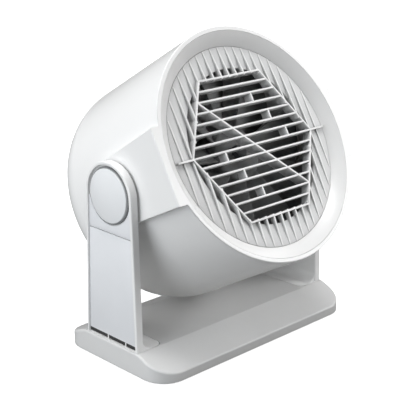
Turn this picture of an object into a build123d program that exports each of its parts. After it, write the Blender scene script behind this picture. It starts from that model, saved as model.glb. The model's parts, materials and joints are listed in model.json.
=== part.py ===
from build123d import *
import os
from math import acos, atan2, cos, hypot, pi, radians, sin, sqrt

# A tilting desk fan. Millimetres, +Z up. X runs from leg to leg, the fan blows towards -Y.
# The origin is the centre of the anti-slip pad's underside, on the surface the fan stands on.

# ---- clearances ----
RUNNING_GAP = 0.06      # radial, between a turning pin and its bush
FIT_GAP = 0.1           # between pieces that drop into each other
THREAD_GAP = 0.05       # radial, between a screw and its hole
SEAM_GAP = 0.6          # visible seam between two mouldings
SWING_GAP = 0.25        # between faces that turn past each other

# ---- base ----
BASE_OVERHANG = 1.5     # base past each leg
BASE_DEPTH = 125.2
BASE_CORNER = 22.0
BASE_HEIGHT = 19.6      # underside of the shell to its flat top
EDGE_HEIGHT = 8.0       # underside of the shell to the low front and back edges
FLAT_HALF_DEPTH = 33.5  # the flat top, before the slopes start
BASE_WALL = 2.4
BASE_SOFTENING = 2.0    # rounding of the shell's top edges
PLATE_THICKNESS = 1.8
PAD_THICKNESS = 1.2
PAD_INSET_X = 25.5      # pad's ends, in from the base's ends
PAD_INSET_Y = 20.6
PAD_CORNER = 14.0
BALLAST_INSET = 43.5    # ballast's ends, in from the base's ends
BALLAST_DEPTH = 52.0
BALLAST_HEIGHT = 9.0
CORNER_SCREW_INSET = (19.5, 16.6)
MIDDLE_SCREW_X = 30.0
MIDDLE_SCREW_INSET = 14.6
BOSS_RADIUS = 4.0
SCREW_RADIUS = 1.45
SCREW_HEAD_RADIUS = 2.8
SCREW_HEAD_HEIGHT = 1.0

# ---- legs ----
LEG_GAP = 2.3           # between an ear and the leg beside it
LEG_THICKNESS = 7.0
LEG_WEB = 4.0           # what is left behind the recess
LEG_RIM = 2.5
ARCH_RADIUS = 27.6
LEG_FOOT_HALF = 31.8
HEAD_CLEARANCE = 3.4    # between the turning head and the base
LEG_SOFTENING = 1.1
TAB_LENGTH = 20.0       # foot tab, inwards from the leg's inner face
TAB_THICKNESS = 2.6
TAB_CORNER = 7.0
TAB_SEAM = 0.6          # visible gap round a foot tab
FOOT_FILLET = 8.0
TAB_SCREW_SPACING = 19.0
TAB_BOSS_RADIUS = 3.5
SLOT_HEIGHT = 3.6       # drain slot under the cover panels
SLOT_FLOOR = 0.4
SLOT_DEPTH = 1.0
SLOT_RIB = 1.0
STRIP_SETBACK = 0.3     # from the panel's face back to the dark strip
SLOT_RIB_SPOTS = (6.0, -16.0)
COVER_THICKNESS = 1.7
COVER_SPLIT = 31.0      # seam between the two covers, below the tilt axis
COVER_HORN = 4.0        # the upper cover's tips, below the tilt axis

# ---- tilt pivot ----
PIN_RADIUS = 6.5        # trunnion that turns in the leg's bush
BUSH_WALL = 2.0
BOLT_RADIUS = 4.0
BOLT_ROOM = 0.3
HEX_FLATS = 13.0
BOLT_HEAD = 3.8
NUT_HEIGHT = 6.5
FLANGE_RADIUS = 16.0
FLANGE_THICKNESS = 3.0
NUT_BOSS_RADIUS = 10.4
FLANGE_SCREW_CIRCLE = 13.1
FLANGE_SCREW_RADIUS = 1.2
FLANGE_SCREW_HEAD = 2.2
WASHER_WIDTH = 5.5
KNOB_RADIUS = 22.0
KNOB_EDGE = 1.7
KNOB_CROWN = 2.4
KNOB_HUB = 16.8
RING_TIP = 23.5
RING_ROOT = 22.5
RING_TEETH = 72
RING_THICKNESS = 1.6

# ---- head ----
TILT = 30.0             # nose up, in the stored pose
HEAD_RADIUS = 100.0
HEAD_LENGTH = 157.0
HEAD_DRAFT = 1.5        # the back is this much smaller in radius
REAR_FILLET = 31.7
HEAD_WALL = 3.5
FRONT_REACH = 65.4      # tilt axis to the front plane
AXIS_LIFT = 1.4         # drum axis above the tilt axis
EAR_STEP = 2.7          # flat sides of the head, past the drum
EAR_HALF_HEIGHT = 31.4
EAR_END_RADIUS = 28.0
EAR_WALL = 3.2
HEAD_SOFTENING = 0.8

# ---- bezel and front grille ----
BEZEL_DROP = 8.0        # depth of the dish
BEZEL_SKIRT = 16.0
BEZEL_WALL = 2.0
DISH_WIDTH = 11.0
GRILLE_FLOOR = 2.0
GRILLE_SET_BACK = 5.2   # grille face behind the front plane
WINDOW_INSET = 16.8     # corners of the hexagon, in from the grille's rim
HOLE_INSET = 2.2        # round hole in the floor, in from the hexagon's corners
SLAT_ROWS = 7           # slats from the middle to the top edge of the hexagon
RIB = 1.6
SLAT_DEPTH = 9.0
STRUT_DEPTH = 12.0
CROSS_RIB_STEP = 12.4
UPPER_RIB_START = 15.9
LOWER_RIB_START = -34.1
MIDDLE_BAR_INSET = 1.1
LUG_INSET = 5.5
LUG_RADIUS = 3.2
LUG_DEPTH = 6.0
LUG_START = 24.0

# ---- rear grille and speed control ----
REAR_FLAT = 3.8         # flat ring between the seat and the drum's rounded back
REAR_LEDGE = 7.0
REAR_SEAT_DEPTH = 2.6
REAR_RIM_DEPTH = 7.0
REAR_SCREW_INSET = 3.4
REAR_RING_PITCH = 6.6
REAR_RING_WIDTH = 1.8
REAR_SPOKES = 12
REAR_HUB = 20.0
SPEED_KNOB_RADIUS = 15.0
SPEED_KNOB_HEIGHT = 11.0
SPEED_SHAFT = 3.0
SPEED_SHAFT_END = 3.0   # knob left over the end of the spindle
SPEED_KNOB_EDGE = 1.6
FLUTES = 24
FLUTE_RADIUS = 1.1
POINTER_WIDTH = 1.6
SWITCH_SIZE = (24.0, 24.0, 13.0)
TERMINAL_SPREAD = 7.0
TERMINAL_HEIGHT = 4.0
TERMINAL_THICKNESS = 2.0

# ---- motor and impeller ----
MOTOR_RADIUS = 24.0
MOTOR_LENGTH = 34.0
MOTOR_FRONT = 66.0      # front of the motor, behind the front plane
MOTOR_WALL = 1.5
MOUNT_THICKNESS = 3.0
MOUNT_RING = 30.0
MOUNT_ARM = 9.0
MOUNT_LUG = 10.0
MOUNT_INSET = 8.5
GROMMET_HEIGHT = 2.0
SHAFT_RADIUS = 3.0
BEARING_RADIUS = 8.0
BEARING_WIDTH = 5.0
ROTOR_RADIUS = 13.0
STATOR_INNER = 13.5
CORE_LENGTH = 14.0
TIP_GAP = 12.5          # blade tips to the drum's opening
HUB_RADIUS = 24.0
HUB_LENGTH = 30.0
HUB_WALL = 2.2
BLADES = 9
BLADE_THICKNESS = 2.0
ROOT_CHORD = 34.0
TIP_CHORD = 66.0
ROOT_PITCH = 46.0
TIP_PITCH = 25.0
IMPELLER_FRONT = 28.0
NUT_END = 5.0

# ---- inlet ----
SOCKET_SIZE = (9.0, 7.6, 3.3)
SOCKET_WALL = 0.35
TONGUE_THICKNESS = 0.7
BOARD_SIZE = (26.0, 20.0, 1.2)
CHIP_SIZE = (7.0, 6.0, 1.4)
COIL_RADIUS = 3.0
COIL_HEIGHT = 4.0

# ---- sizes and places that follow from the ones above ----
SIDES = {"left": -1, "right": 1}
OPENING_RADIUS = HEAD_RADIUS - HEAD_WALL
LUG_CIRCLE = OPENING_RADIUS - LUG_INSET
GRILLE_RADIUS = OPENING_RADIUS - FIT_GAP - DISH_WIDTH
WINDOW_RADIUS = GRILLE_RADIUS - WINDOW_INSET    # centre to corner of the hexagon
FLOOR_HOLE = WINDOW_RADIUS - HOLE_INSET
MIDDLE_BAR_HALF = GRILLE_RADIUS - MIDDLE_BAR_INSET
MOUNT_CIRCLE = OPENING_RADIUS - MOUNT_INSET
IMPELLER_RADIUS = OPENING_RADIUS - TIP_GAP
BACK_RADIUS = HEAD_RADIUS - HEAD_DRAFT
REAR_SEAT = BACK_RADIUS - REAR_FILLET - REAR_FLAT
REAR_OPENING = REAR_SEAT - REAR_LEDGE
REAR_SCREW_CIRCLE = REAR_SEAT - REAR_SCREW_INSET
REAR_RING_COUNT = int((REAR_OPENING - REAR_RING_WIDTH - REAR_HUB) / REAR_RING_PITCH)
EAR_FACE = HEAD_RADIUS + EAR_STEP
LEG_INNER = EAR_FACE + LEG_GAP
LEG_OUTER = LEG_INNER + LEG_THICKNESS
WEB_FACE = LEG_INNER + LEG_WEB
BUSH_RADIUS = PIN_RADIUS + BUSH_WALL
WASHER_RADIUS = PIN_RADIUS + WASHER_WIDTH
BOLT_HOLE = BOLT_RADIUS + BOLT_ROOM
BASE_LENGTH = 2 * (LEG_OUTER + BASE_OVERHANG)
BALLAST_LENGTH = BASE_LENGTH - 2 * BALLAST_INSET
BALLAST_SCREW_X = BALLAST_LENGTH / 2 - 12
PLATE_TOP = PAD_THICKNESS + PLATE_THICKNESS
BASE_TOP = PAD_THICKNESS + BASE_HEIGHT
TAB_BOTTOM = BASE_TOP - TAB_THICKNESS
SEAT_BOTTOM = TAB_BOTTOM - BASE_WALL
BACK_REACH = HEAD_LENGTH - FRONT_REACH - REAR_FILLET
HEAD_SWEEP = REAR_FILLET + hypot(BACK_REACH, BACK_RADIUS - REAR_FILLET - AXIS_LIFT)
LEG_REACH = round(HEAD_SWEEP + HEAD_CLEARANCE, 1)    # tilt axis above the flat top of the base
PIVOT_HEIGHT = BASE_TOP + LEG_REACH

PIVOT_IN_HEAD = Pos(0, -AXIS_LIFT, -FRONT_REACH)
HEAD_PLACE = Pos(0, 0, PIVOT_HEIGHT) * Rot(-TILT, 0, 0) * Pos(0, -FRONT_REACH, AXIS_LIFT) * Rot(90, 0, 0)


# ---- shared shapes ----
def turned(*outline):
    """Solid of revolution about Z, from (radius, height) corners."""
    return revolve(Plane.XZ * make_face(Polyline(*outline, close=True)), Axis.Z)


def rod(radius, low, high, x=0.0, y=0.0):
    """Cylinder along Z between two heights."""
    return Pos(x, y, (low + high) / 2) * Cylinder(radius, high - low)


def tube(outer, inner, low, high):
    """Hollow cylinder along Z."""
    return rod(outer, low, high) - rod(inner, low - 1, high + 1)


def block(low, high):
    """Box between two corners."""
    size = [b - a for a, b in zip(low, high)]
    middle = [(a + b) / 2 for a, b in zip(low, high)]
    return Pos(*middle) * Box(*size)


def arch(radius, foot_half, centre_height, foot_height):
    """Flat outline: a round top whose sides run straight to a wider foot."""
    drop = centre_height - foot_height
    reach = hypot(foot_half, drop)
    angle = atan2(-drop, foot_half) + acos(radius / reach)
    side = (radius * cos(angle), centre_height + radius * sin(angle))
    corners = [(-foot_half, foot_height), (foot_half, foot_height), side, (-side[0], side[1])]
    return make_face(Polyline(*corners, close=True)) + Pos(0, centre_height) * Circle(radius)


def screw(length, radius=SCREW_RADIUS, head=SCREW_HEAD_RADIUS, head_height=SCREW_HEAD_HEIGHT):
    """Screw along +Z: its head lies under the origin and its shank above it."""
    shank = rod(radius, -head_height / 2, length)
    cap = rod(head, -head_height, 0)
    drive = block((-head, -head / 6, -head_height), (head, head / 6, -head_height / 2))
    return shank + (cap - drive)


def hexagon(flats, low, high):
    """Hexagonal prism along Z, sized across its flats."""
    return extrude(Plane.XY.offset(low) * RegularPolygon(flats / 2, 6, major_radius=False), high - low)


def ring_of(count, radius, start=0.0):
    """Evenly spaced places on a circle about Z."""
    turns = [radians(start + 360 * i / count) for i in range(count)]
    return [(radius * cos(turn), radius * sin(turn)) for turn in turns]


def outward(side):
    """Place that points local +Z outwards along the tilt axis, in the row's own frame."""
    return Pos(0, 0, PIVOT_HEIGHT) * Rot(0, 90 * side, 0)


def head_outward(side):
    """The same place before the head is put on its tilt axis."""
    return PIVOT_IN_HEAD * Rot(0, 90 * side, 0)


# ---- base ----
def base_block(inset, top_inset, low):
    """The base's outer form, or the same form drawn in by a wall."""
    plan = RectangleRounded(BASE_LENGTH - 2 * inset, BASE_DEPTH - 2 * inset, BASE_CORNER - inset)
    top = BASE_TOP - top_inset
    body = extrude(Plane.XY.offset(low) * plan, top - low)
    edge = PAD_THICKNESS + EDGE_HEIGHT - top_inset
    half = BASE_DEPTH / 2
    rise = (BASE_HEIGHT - EDGE_HEIGHT) / (half - FLAT_HALF_DEPTH)
    beyond = half + 20
    slope = [
        (FLAT_HALF_DEPTH, top), (beyond, edge - 20 * rise),
        (beyond, top + 20), (FLAT_HALF_DEPTH, top + 20),
    ]
    wedge = extrude(Plane.YZ * make_face(Polyline(*slope, close=True)), BASE_LENGTH, both=True)
    return body - wedge - mirror(wedge, Plane.XZ)


def roof_height(y):
    """Height of the shell's inner roof at a distance from the middle."""
    half = BASE_DEPTH / 2
    rise = (BASE_HEIGHT - EDGE_HEIGHT) / (half - FLAT_HALF_DEPTH)
    return BASE_TOP - BASE_WALL - rise * max(0.0, abs(y) - FLAT_HALF_DEPTH)


def tab_plan(gap):
    """Outline of a foot tab with its inner corners rounded, for the +X side."""
    inner = LEG_INNER - TAB_LENGTH - gap
    outer = LEG_OUTER + gap
    half = LEG_FOOT_HALF + gap
    plan = Pos((inner + outer) / 2, 0) * Rectangle(outer - inner, 2 * half)
    corners = plan.vertices().sort_by(Axis.X)[:2]
    return fillet(corners, TAB_CORNER)


def tab_screw_spots():
    """Places of the screws that hold a leg, for the +X side."""
    x = LEG_INNER - TAB_LENGTH / 2
    return [(x, -TAB_SCREW_SPACING), (x, 0.0), (x, TAB_SCREW_SPACING)]


def base_shell():
    outer = base_block(0, 0, PAD_THICKNESS)
    crease = FLAT_HALF_DEPTH + 1
    rims = [
        edge for edge in outer.edges()
        if edge.center().Z > PAD_THICKNESS + EDGE_HEIGHT - 1
        and not (abs(edge.center().X) < 1 and abs(edge.center().Y) < crease)
        and abs(edge.tangent_at(0.5).Z) < 0.9
    ]
    shell = fillet(rims, BASE_SOFTENING) - base_block(BASE_WALL, BASE_WALL, 0)
    for side in SIDES.values():
        low = LEG_INNER - TAB_LENGTH - BASE_WALL
        high = BASE_LENGTH / 2 - BASE_WALL / 2
        half = FLAT_HALF_DEPTH - 0.5
        seat = block((low, -half, SEAT_BOTTOM), (high, half, BASE_TOP - BASE_WALL / 2))
        recess = extrude(Plane.XY.offset(TAB_BOTTOM) * tab_plan(TAB_SEAM), BASE_HEIGHT)
        if side < 0:
            seat = mirror(seat, Plane.YZ)
            recess = mirror(recess, Plane.YZ)
        shell = shell + seat - recess
        for x, y in tab_screw_spots():
            shell -= rod(TAB_BOSS_RADIUS + FIT_GAP, 0, BASE_TOP, x * side, y)
    for x, y in base_screw_spots():
        roof = roof_height(abs(y) - BOSS_RADIUS)
        boss = rod(BOSS_RADIUS, PLATE_TOP, roof + BASE_WALL / 2, x, y)
        boss &= base_block(BASE_WALL / 2, BASE_WALL / 2, 0)
        shell = shell + boss - rod(SCREW_RADIUS + THREAD_GAP, 0, roof_height(abs(y) + BOSS_RADIUS) - 1, x, y)
    width, depth, height = SOCKET_SIZE
    mouth = RectangleRounded(width + 2 * FIT_GAP, height + 2 * FIT_GAP, height / 2)
    port = Plane.XZ.offset(-BASE_DEPTH / 2 - 1) * (Pos(0, socket_height()) * mouth)
    return shell - extrude(port, depth + 2)


def base_screw_spots():
    """Places of the screws that close the base, from below."""
    x, y = BASE_LENGTH / 2 - CORNER_SCREW_INSET[0], BASE_DEPTH / 2 - CORNER_SCREW_INSET[1]
    middle = BASE_DEPTH / 2 - MIDDLE_SCREW_INSET
    return [(-x, -y), (-x, y), (x, -y), (x, y), (-MIDDLE_SCREW_X, middle), (MIDDLE_SCREW_X, -middle)]


def base_plate():
    plate = base_block(BASE_WALL + FIT_GAP, BASE_WALL + FIT_GAP, PAD_THICKNESS)
    plate &= block((-BASE_LENGTH, -BASE_DEPTH, 0), (BASE_LENGTH, BASE_DEPTH, PLATE_TOP))
    for x, y in base_screw_spots():
        plate -= rod(SCREW_RADIUS + THREAD_GAP, 0, BASE_TOP, x, y)
    for side in SIDES.values():
        plate -= rod(SCREW_RADIUS + THREAD_GAP, 0, BASE_TOP, BALLAST_SCREW_X * side, 0)
    return plate


def base_ballast():
    length, depth, height = BALLAST_LENGTH, BALLAST_DEPTH, BALLAST_HEIGHT
    weight = block((-length / 2, -depth / 2, PLATE_TOP), (length / 2, depth / 2, PLATE_TOP + height))
    weight = fillet(weight.edges().filter_by(Axis.Z), 4)
    for side in SIDES.values():
        weight -= rod(SCREW_RADIUS + THREAD_GAP, 0, PLATE_TOP + height / 2, BALLAST_SCREW_X * side, 0)
    return chamfer(weight.edges().group_by(Axis.Z)[-1], 0.8)


def ballast_screws():
    length = PLATE_THICKNESS + BALLAST_HEIGHT / 3
    spots = [(BALLAST_SCREW_X * side, 0.0) for side in SIDES.values()]
    return [Pos(x, y, PAD_THICKNESS) * screw(length) for x, y in spots]


def base_screws():
    return [Pos(x, y, PAD_THICKNESS) * screw(PLATE_THICKNESS + 5) for x, y in base_screw_spots()]


def anti_slip_pad():
    length, depth = BASE_LENGTH - 2 * PAD_INSET_X, BASE_DEPTH - 2 * PAD_INSET_Y
    pad = extrude(RectangleRounded(length, depth, PAD_CORNER), PAD_THICKNESS)
    head = SCREW_HEAD_RADIUS + 1
    for side in SIDES.values():
        pad -= rod(head, -1, PAD_THICKNESS + 1, BALLAST_SCREW_X * side, 0)
    return pad


# ---- power inlet ----
def board_top():
    return PLATE_TOP + FIT_GAP + BOARD_SIZE[2]


def socket_height():
    return board_top() + SOCKET_SIZE[2] / 2


def power_socket():
    width, depth, height = SOCKET_SIZE
    face = BASE_DEPTH / 2 - 0.4
    back = Plane.XZ.offset(-face)
    outline = Pos(0, socket_height()) * RectangleRounded(width, height, height / 2 - 0.05)
    inner = (width - 2 * SOCKET_WALL, height - 2 * SOCKET_WALL)
    hollow = Pos(0, socket_height()) * RectangleRounded(*inner, inner[1] / 2 - 0.05)
    shell = extrude(back * outline, depth) - extrude(back * hollow, depth - 1.2)
    half, middle = TONGUE_THICKNESS / 2, socket_height()
    low = (-width / 3, face - depth + 0.5, middle - half)
    tongue = block(low, (width / 3, face - 1, middle + half))
    return shell + tongue


def inlet_board():
    length, depth, thickness = BOARD_SIZE
    back = BASE_DEPTH / 2 - BASE_WALL - 1
    low = PLATE_TOP + FIT_GAP
    board = block((-length / 2, back - depth, low), (length / 2, back, low + thickness))
    middle, root = back - depth + CHIP_SIZE[1], low + thickness / 2
    half = CHIP_SIZE[0] / 2
    chip = block((-half, middle - half, root), (half, middle + half, low + thickness + CHIP_SIZE[2]))
    coil = rod(COIL_RADIUS, root, low + thickness + COIL_HEIGHT, -half - 1.5 * COIL_RADIUS, middle)
    return board + chip + coil


# ---- legs ----
def leg_outline(inset, foot_height):
    return arch(ARCH_RADIUS - inset, LEG_FOOT_HALF - inset, PIVOT_HEIGHT, foot_height)


def foot_slot(inner, outer, gap):
    """The slot's three openings between two faces of the +X leg, drawn in by a gap."""
    half = LEG_FOOT_HALF - LEG_RIM - gap
    low, high = BASE_TOP + SLOT_FLOOR + gap, BASE_TOP + SLOT_HEIGHT - gap
    slot = block((inner, -half, low), (outer, half, high))
    for y in SLOT_RIB_SPOTS:
        reach = SLOT_RIB / 2 + gap
        slot -= block((inner - 1, y - reach, BASE_TOP), (outer + 1, y + reach, high + 1))
    return slot


def slot_strip():
    """Dark strip that fills the slot."""
    return foot_slot(WEB_FACE - SLOT_DEPTH, WEB_FACE + COVER_THICKNESS - STRIP_SETBACK, THREAD_GAP)


def slot_ribs():
    """Short ribs that divide the slot, flush with the cover panel."""
    half, top = SLOT_RIB / 2, BASE_TOP + SLOT_HEIGHT - FIT_GAP
    ribs = Part()
    for y in SLOT_RIB_SPOTS:
        inner, outer = WEB_FACE - SLOT_DEPTH, WEB_FACE + COVER_THICKNESS
        ribs += block((inner, y - half, BASE_TOP - SLOT_DEPTH), (outer, y + half, top))
    return ribs


def leg_frame():
    """Leg for the +X side."""
    side_face = Plane.YZ.offset(LEG_INNER)
    plate = extrude(side_face * leg_outline(0, TAB_BOTTOM), LEG_THICKNESS)
    rims = [
        edge for edge in plate.edges()
        if abs(edge.center().X - LEG_INNER) < 0.1 or abs(edge.center().X - LEG_OUTER) < 0.1
    ]
    rims = [edge for edge in rims if edge.center().Z > BASE_TOP]
    plate = fillet(rims, LEG_SOFTENING)
    web = Plane.YZ.offset(WEB_FACE)
    plate -= extrude(web * leg_outline(LEG_RIM, BASE_TOP), LEG_THICKNESS)
    tab = extrude(Plane.XY.offset(TAB_BOTTOM) * tab_plan(0), TAB_THICKNESS)
    corner = (LEG_INNER - FOOT_FILLET, BASE_TOP + FOOT_FILLET)
    half = LEG_FOOT_HALF - LEG_SOFTENING
    gusset = block((corner[0], -half, TAB_BOTTOM), (LEG_INNER + 1, half, corner[1]))
    hollow = Pos(corner[0], 0, corner[1]) * Rot(90, 0, 0) * Cylinder(FOOT_FILLET, BASE_DEPTH)
    leg = plate + tab + (gusset - hollow)
    leg = leg - foot_slot(WEB_FACE - SLOT_DEPTH, LEG_OUTER, 0) + slot_ribs()
    for x, y in tab_screw_spots():
        leg += rod(TAB_BOSS_RADIUS, SEAT_BOTTOM + FIT_GAP, TAB_BOTTOM + TAB_THICKNESS / 2, x, y)
        leg -= rod(SCREW_RADIUS + THREAD_GAP, 0, TAB_BOTTOM + TAB_THICKNESS / 2, x, y)
    return leg - outward(1) * rod(BUSH_RADIUS, 0, LEG_OUTER)


def leg_cover(upper):
    """Recessed cover panel for the +X side."""
    panel = leg_outline(LEG_RIM + FIT_GAP, BASE_TOP)
    seam = PIVOT_HEIGHT - COVER_SPLIT
    wide = 2 * LEG_FOOT_HALF
    if upper:
        low, high = seam + SEAM_GAP / 2, PIVOT_HEIGHT - COVER_HORN
    else:
        low, high = BASE_TOP + SLOT_HEIGHT, seam - SEAM_GAP / 2
    panel &= Pos(0, (low + high) / 2) * Rectangle(wide, high - low)
    if upper:
        panel -= Pos(0, PIVOT_HEIGHT) * Circle(RING_TIP + 3 * SWING_GAP)
    return extrude(Plane.YZ.offset(WEB_FACE) * panel, COVER_THICKNESS)


def leg_screws():
    reach = TAB_BOTTOM + TAB_THICKNESS / 3 - SEAT_BOTTOM
    one = screw(reach, head=TAB_BOSS_RADIUS + 1.5, head_height=1.6)
    return [Pos(x, y, SEAT_BOTTOM) * one for x, y in tab_screw_spots()]


# ---- tilt pivot, built along +Z outwards from the middle plane ----
def pivot_bush():
    return tube(BUSH_RADIUS, PIN_RADIUS + RUNNING_GAP, LEG_INNER, WEB_FACE)


def friction_washer():
    return tube(WASHER_RADIUS, PIN_RADIUS + SWING_GAP, EAR_FACE + SWING_GAP, LEG_INNER)


def trunnion():
    seat = EAR_FACE - EAR_WALL
    back = seat - FLANGE_THICKNESS
    end = WEB_FACE - SWING_GAP
    pin = rod(PIN_RADIUS, back, end)
    flange = rod(FLANGE_RADIUS, back, seat)
    boss = rod(NUT_BOSS_RADIUS, back - NUT_HEIGHT - FIT_GAP, seat)
    body = pin + flange + boss - rod(BOLT_HOLE, 0, end + 1)
    body -= hexagon(HEX_FLATS + 2 * THREAD_GAP, 0, back)
    for x, y in ring_of(3, FLANGE_SCREW_CIRCLE, 90):
        body -= rod(FLANGE_SCREW_RADIUS + THREAD_GAP, 0, seat + 1, x, y)
    return body


def trunnion_screws():
    back = EAR_FACE - EAR_WALL - FLANGE_THICKNESS
    one = screw(FLANGE_THICKNESS + EAR_WALL - 1, FLANGE_SCREW_RADIUS, FLANGE_SCREW_HEAD, 1.4)
    return [Pos(x, y, back) * one for x, y in ring_of(3, FLANGE_SCREW_CIRCLE, 90)]


def clamp_nut():
    back = EAR_FACE - EAR_WALL - FLANGE_THICKNESS
    return hexagon(HEX_FLATS, back - NUT_HEIGHT, back) - rod(BOLT_RADIUS + THREAD_GAP, 0, back + 1)


def knob_seat():
    """Inner face of the knob's hub, just off the leg's web."""
    return WEB_FACE + SWING_GAP


def clamp_bolt():
    seat = knob_seat()
    tip = EAR_FACE - EAR_WALL - FLANGE_THICKNESS - NUT_HEIGHT - 1
    return rod(BOLT_RADIUS, tip, seat + 1) + hexagon(HEX_FLATS, seat, seat + BOLT_HEAD)


def tilt_knob():
    seat = knob_seat()
    edge = seat + RING_THICKNESS + FIT_GAP
    rim = edge + KNOB_EDGE
    wall = Polyline((0, seat), (KNOB_HUB, seat), (KNOB_HUB, edge), (KNOB_RADIUS, edge), (KNOB_RADIUS, rim))
    middle = KNOB_RADIUS / 2
    sphere = (KNOB_RADIUS ** 2 + KNOB_CROWN ** 2) / (2 * KNOB_CROWN)
    crown = ThreePointArc(
        (KNOB_RADIUS, rim),
        (middle, rim + KNOB_CROWN - sphere + sqrt(sphere ** 2 - middle ** 2)),
        (0, rim + KNOB_CROWN),
    )
    axis = Line((0, rim + KNOB_CROWN), (0, seat))
    knob = revolve(Plane.XZ * make_face(wall.edges() + crown.edges() + axis.edges()), Axis.Z)
    knob = fillet(knob.edges().filter_by(lambda e: abs(e.center().Z - rim) < 0.01 and e.length > 100), 0.9)
    return knob - hexagon(HEX_FLATS + 2 * THREAD_GAP, 0, seat + BOLT_HEAD + THREAD_GAP)


def knob_ring():
    seat = knob_seat()
    tips = ring_of(RING_TEETH, RING_TIP)
    roots = ring_of(RING_TEETH, RING_ROOT, 180 / RING_TEETH)
    outline = [point for pair in zip(tips, roots) for point in pair]
    teeth = extrude(Plane.XY.offset(seat) * make_face(Polyline(*outline, close=True)), RING_THICKNESS)
    return teeth - rod(KNOB_HUB + THREAD_GAP, 0, LEG_OUTER)


# ---- head, built along +Z towards the front, with the front plane at zero ----
def ear_bar(inset, face):
    """Bar across the head whose two ends are the flat ears."""
    outline = arch(EAR_END_RADIUS - inset, EAR_HALF_HEIGHT - inset, FRONT_REACH, inset)
    side_view = Plane(origin=(0, -AXIS_LIFT / 2, 0), x_dir=(0, 1, 0), z_dir=(-1, 0, 0))
    return extrude(side_view * outline, face, both=True)


def head_lugs():
    """Places of the lugs that take the bezel's screws."""
    return ring_of(4, LUG_CIRCLE, 45)


def mount_spots():
    """Places where the motor mount is screwed to the drum."""
    return ring_of(3, MOUNT_CIRCLE, 90)


def mount_face():
    """Height of the lugs' faces, a grommet behind the motor mount."""
    return motor_back() - MOUNT_THICKNESS - GROMMET_HEIGHT


def drum_shell():
    drum = turned((0, 0), (HEAD_RADIUS, 0), (BACK_RADIUS, -HEAD_LENGTH), (0, -HEAD_LENGTH))
    drum = fillet(drum.edges().group_by(Axis.Z)[0], REAR_FILLET)
    drum = fillet(drum.edges().group_by(Axis.Z)[-1], HEAD_SOFTENING)
    ears = ear_bar(0, EAR_FACE)
    drum += fillet(ears.edges().filter_by(lambda edge: abs(edge.center().X) > EAR_FACE - 1), HEAD_SOFTENING)
    floor = -(HEAD_LENGTH - HEAD_WALL)
    straight = -(BEZEL_SKIRT + 1)    # past the bezel, before the cavity narrows
    back = BACK_RADIUS - HEAD_WALL
    cavity = turned((0, 1), (OPENING_RADIUS, 1), (OPENING_RADIUS, straight), (back, floor), (0, floor))
    cavity = fillet(cavity.edges().group_by(Axis.Z)[0], REAR_FILLET - HEAD_WALL)
    cavity += ear_bar(EAR_WALL, EAR_FACE - EAR_WALL)
    rim = rod(REAR_SEAT + HEAD_WALL, -HEAD_LENGTH + HEAD_WALL / 2, -HEAD_LENGTH + REAR_RIM_DEPTH)
    shell = drum - cavity + rim
    lug_depth = (LUG_START, LUG_START + LUG_DEPTH)
    for x, y in head_lugs():
        lug = rod(LUG_RADIUS + 0.8, -lug_depth[1], -lug_depth[0], x, y)
        reach = 1 + HEAD_WALL / (2 * LUG_CIRCLE)
        root = rod(LUG_RADIUS + 0.8, -lug_depth[1], -lug_depth[0], x * reach, y * reach)
        inside = rod(OPENING_RADIUS + HEAD_WALL / 2, -HEAD_LENGTH, 0)
        shell += (lug + root) & inside
        shell -= rod(SCREW_RADIUS + THREAD_GAP, -HEAD_LENGTH / 2, 0, x, y)
    face = mount_face()
    for x, y in mount_spots():
        angle = atan2(y, x)
        low = (MOUNT_CIRCLE - MOUNT_ARM / 2, -MOUNT_ARM / 2, face - MOUNT_LUG)
        lug = block(low, (HEAD_RADIUS, MOUNT_ARM / 2, face))
        inside = rod(OPENING_RADIUS + HEAD_WALL / 2, -HEAD_LENGTH, 0)
        shell += (Rot(0, 0, angle * 180 / pi) * lug) & inside
        shell -= rod(SCREW_RADIUS + THREAD_GAP, face - MOUNT_LUG + 1, face + 1, x, y)
    shell -= rod(REAR_OPENING, -HEAD_LENGTH - 1, -HEAD_LENGTH + 2 * REAR_RIM_DEPTH)
    shell -= rod(REAR_SEAT, -HEAD_LENGTH - 1, -HEAD_LENGTH + REAR_SEAT_DEPTH)
    for x, y in ring_of(4, REAR_SCREW_CIRCLE, 45):
        shell -= rod(SCREW_RADIUS + THREAD_GAP, -HEAD_LENGTH, -HEAD_LENGTH + REAR_RIM_DEPTH - 0.6, x, y)
    for side in SIDES.values():
        shell -= head_outward(side) * rod(PIN_RADIUS + FIT_GAP, EAR_FACE - 2 * EAR_WALL, EAR_FACE + 1)
        for x, y in ring_of(3, FLANGE_SCREW_CIRCLE, 90):
            hole = rod(FLANGE_SCREW_RADIUS + THREAD_GAP, EAR_FACE - 2 * EAR_WALL, EAR_FACE - 0.8, x, y)
            shell -= head_outward(side) * hole
    return shell


def front_bezel():
    outer = OPENING_RADIUS - FIT_GAP
    skirt = outer - BEZEL_WALL
    lip = GRILLE_RADIUS + FIT_GAP
    ledge = BEZEL_DROP + GRILLE_FLOOR
    under = lip + BEZEL_WALL
    bezel = turned(
        (outer, 0), (outer, -BEZEL_SKIRT), (skirt, -BEZEL_SKIRT), (skirt, -BEZEL_WALL * 1.8),
        (under, -ledge + 0.8), (under, -ledge - BEZEL_WALL), (lip - 3.4, -ledge - BEZEL_WALL),
        (lip - 3.4, -ledge), (lip, -ledge), (lip, -BEZEL_DROP),
    )
    dish = turned((0, 1), (outer, 1), (outer, 0), (lip, -BEZEL_DROP), (lip, -LUG_START), (0, -LUG_START))
    for x, y in head_lugs():
        post = rod(LUG_RADIUS, -LUG_START, 0, x, y) & rod(outer, -LUG_START, 0)
        bezel += post - dish
        bezel -= rod(SCREW_RADIUS + THREAD_GAP, -LUG_START - 1, -LUG_START + 8, x, y)
    return bezel


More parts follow.
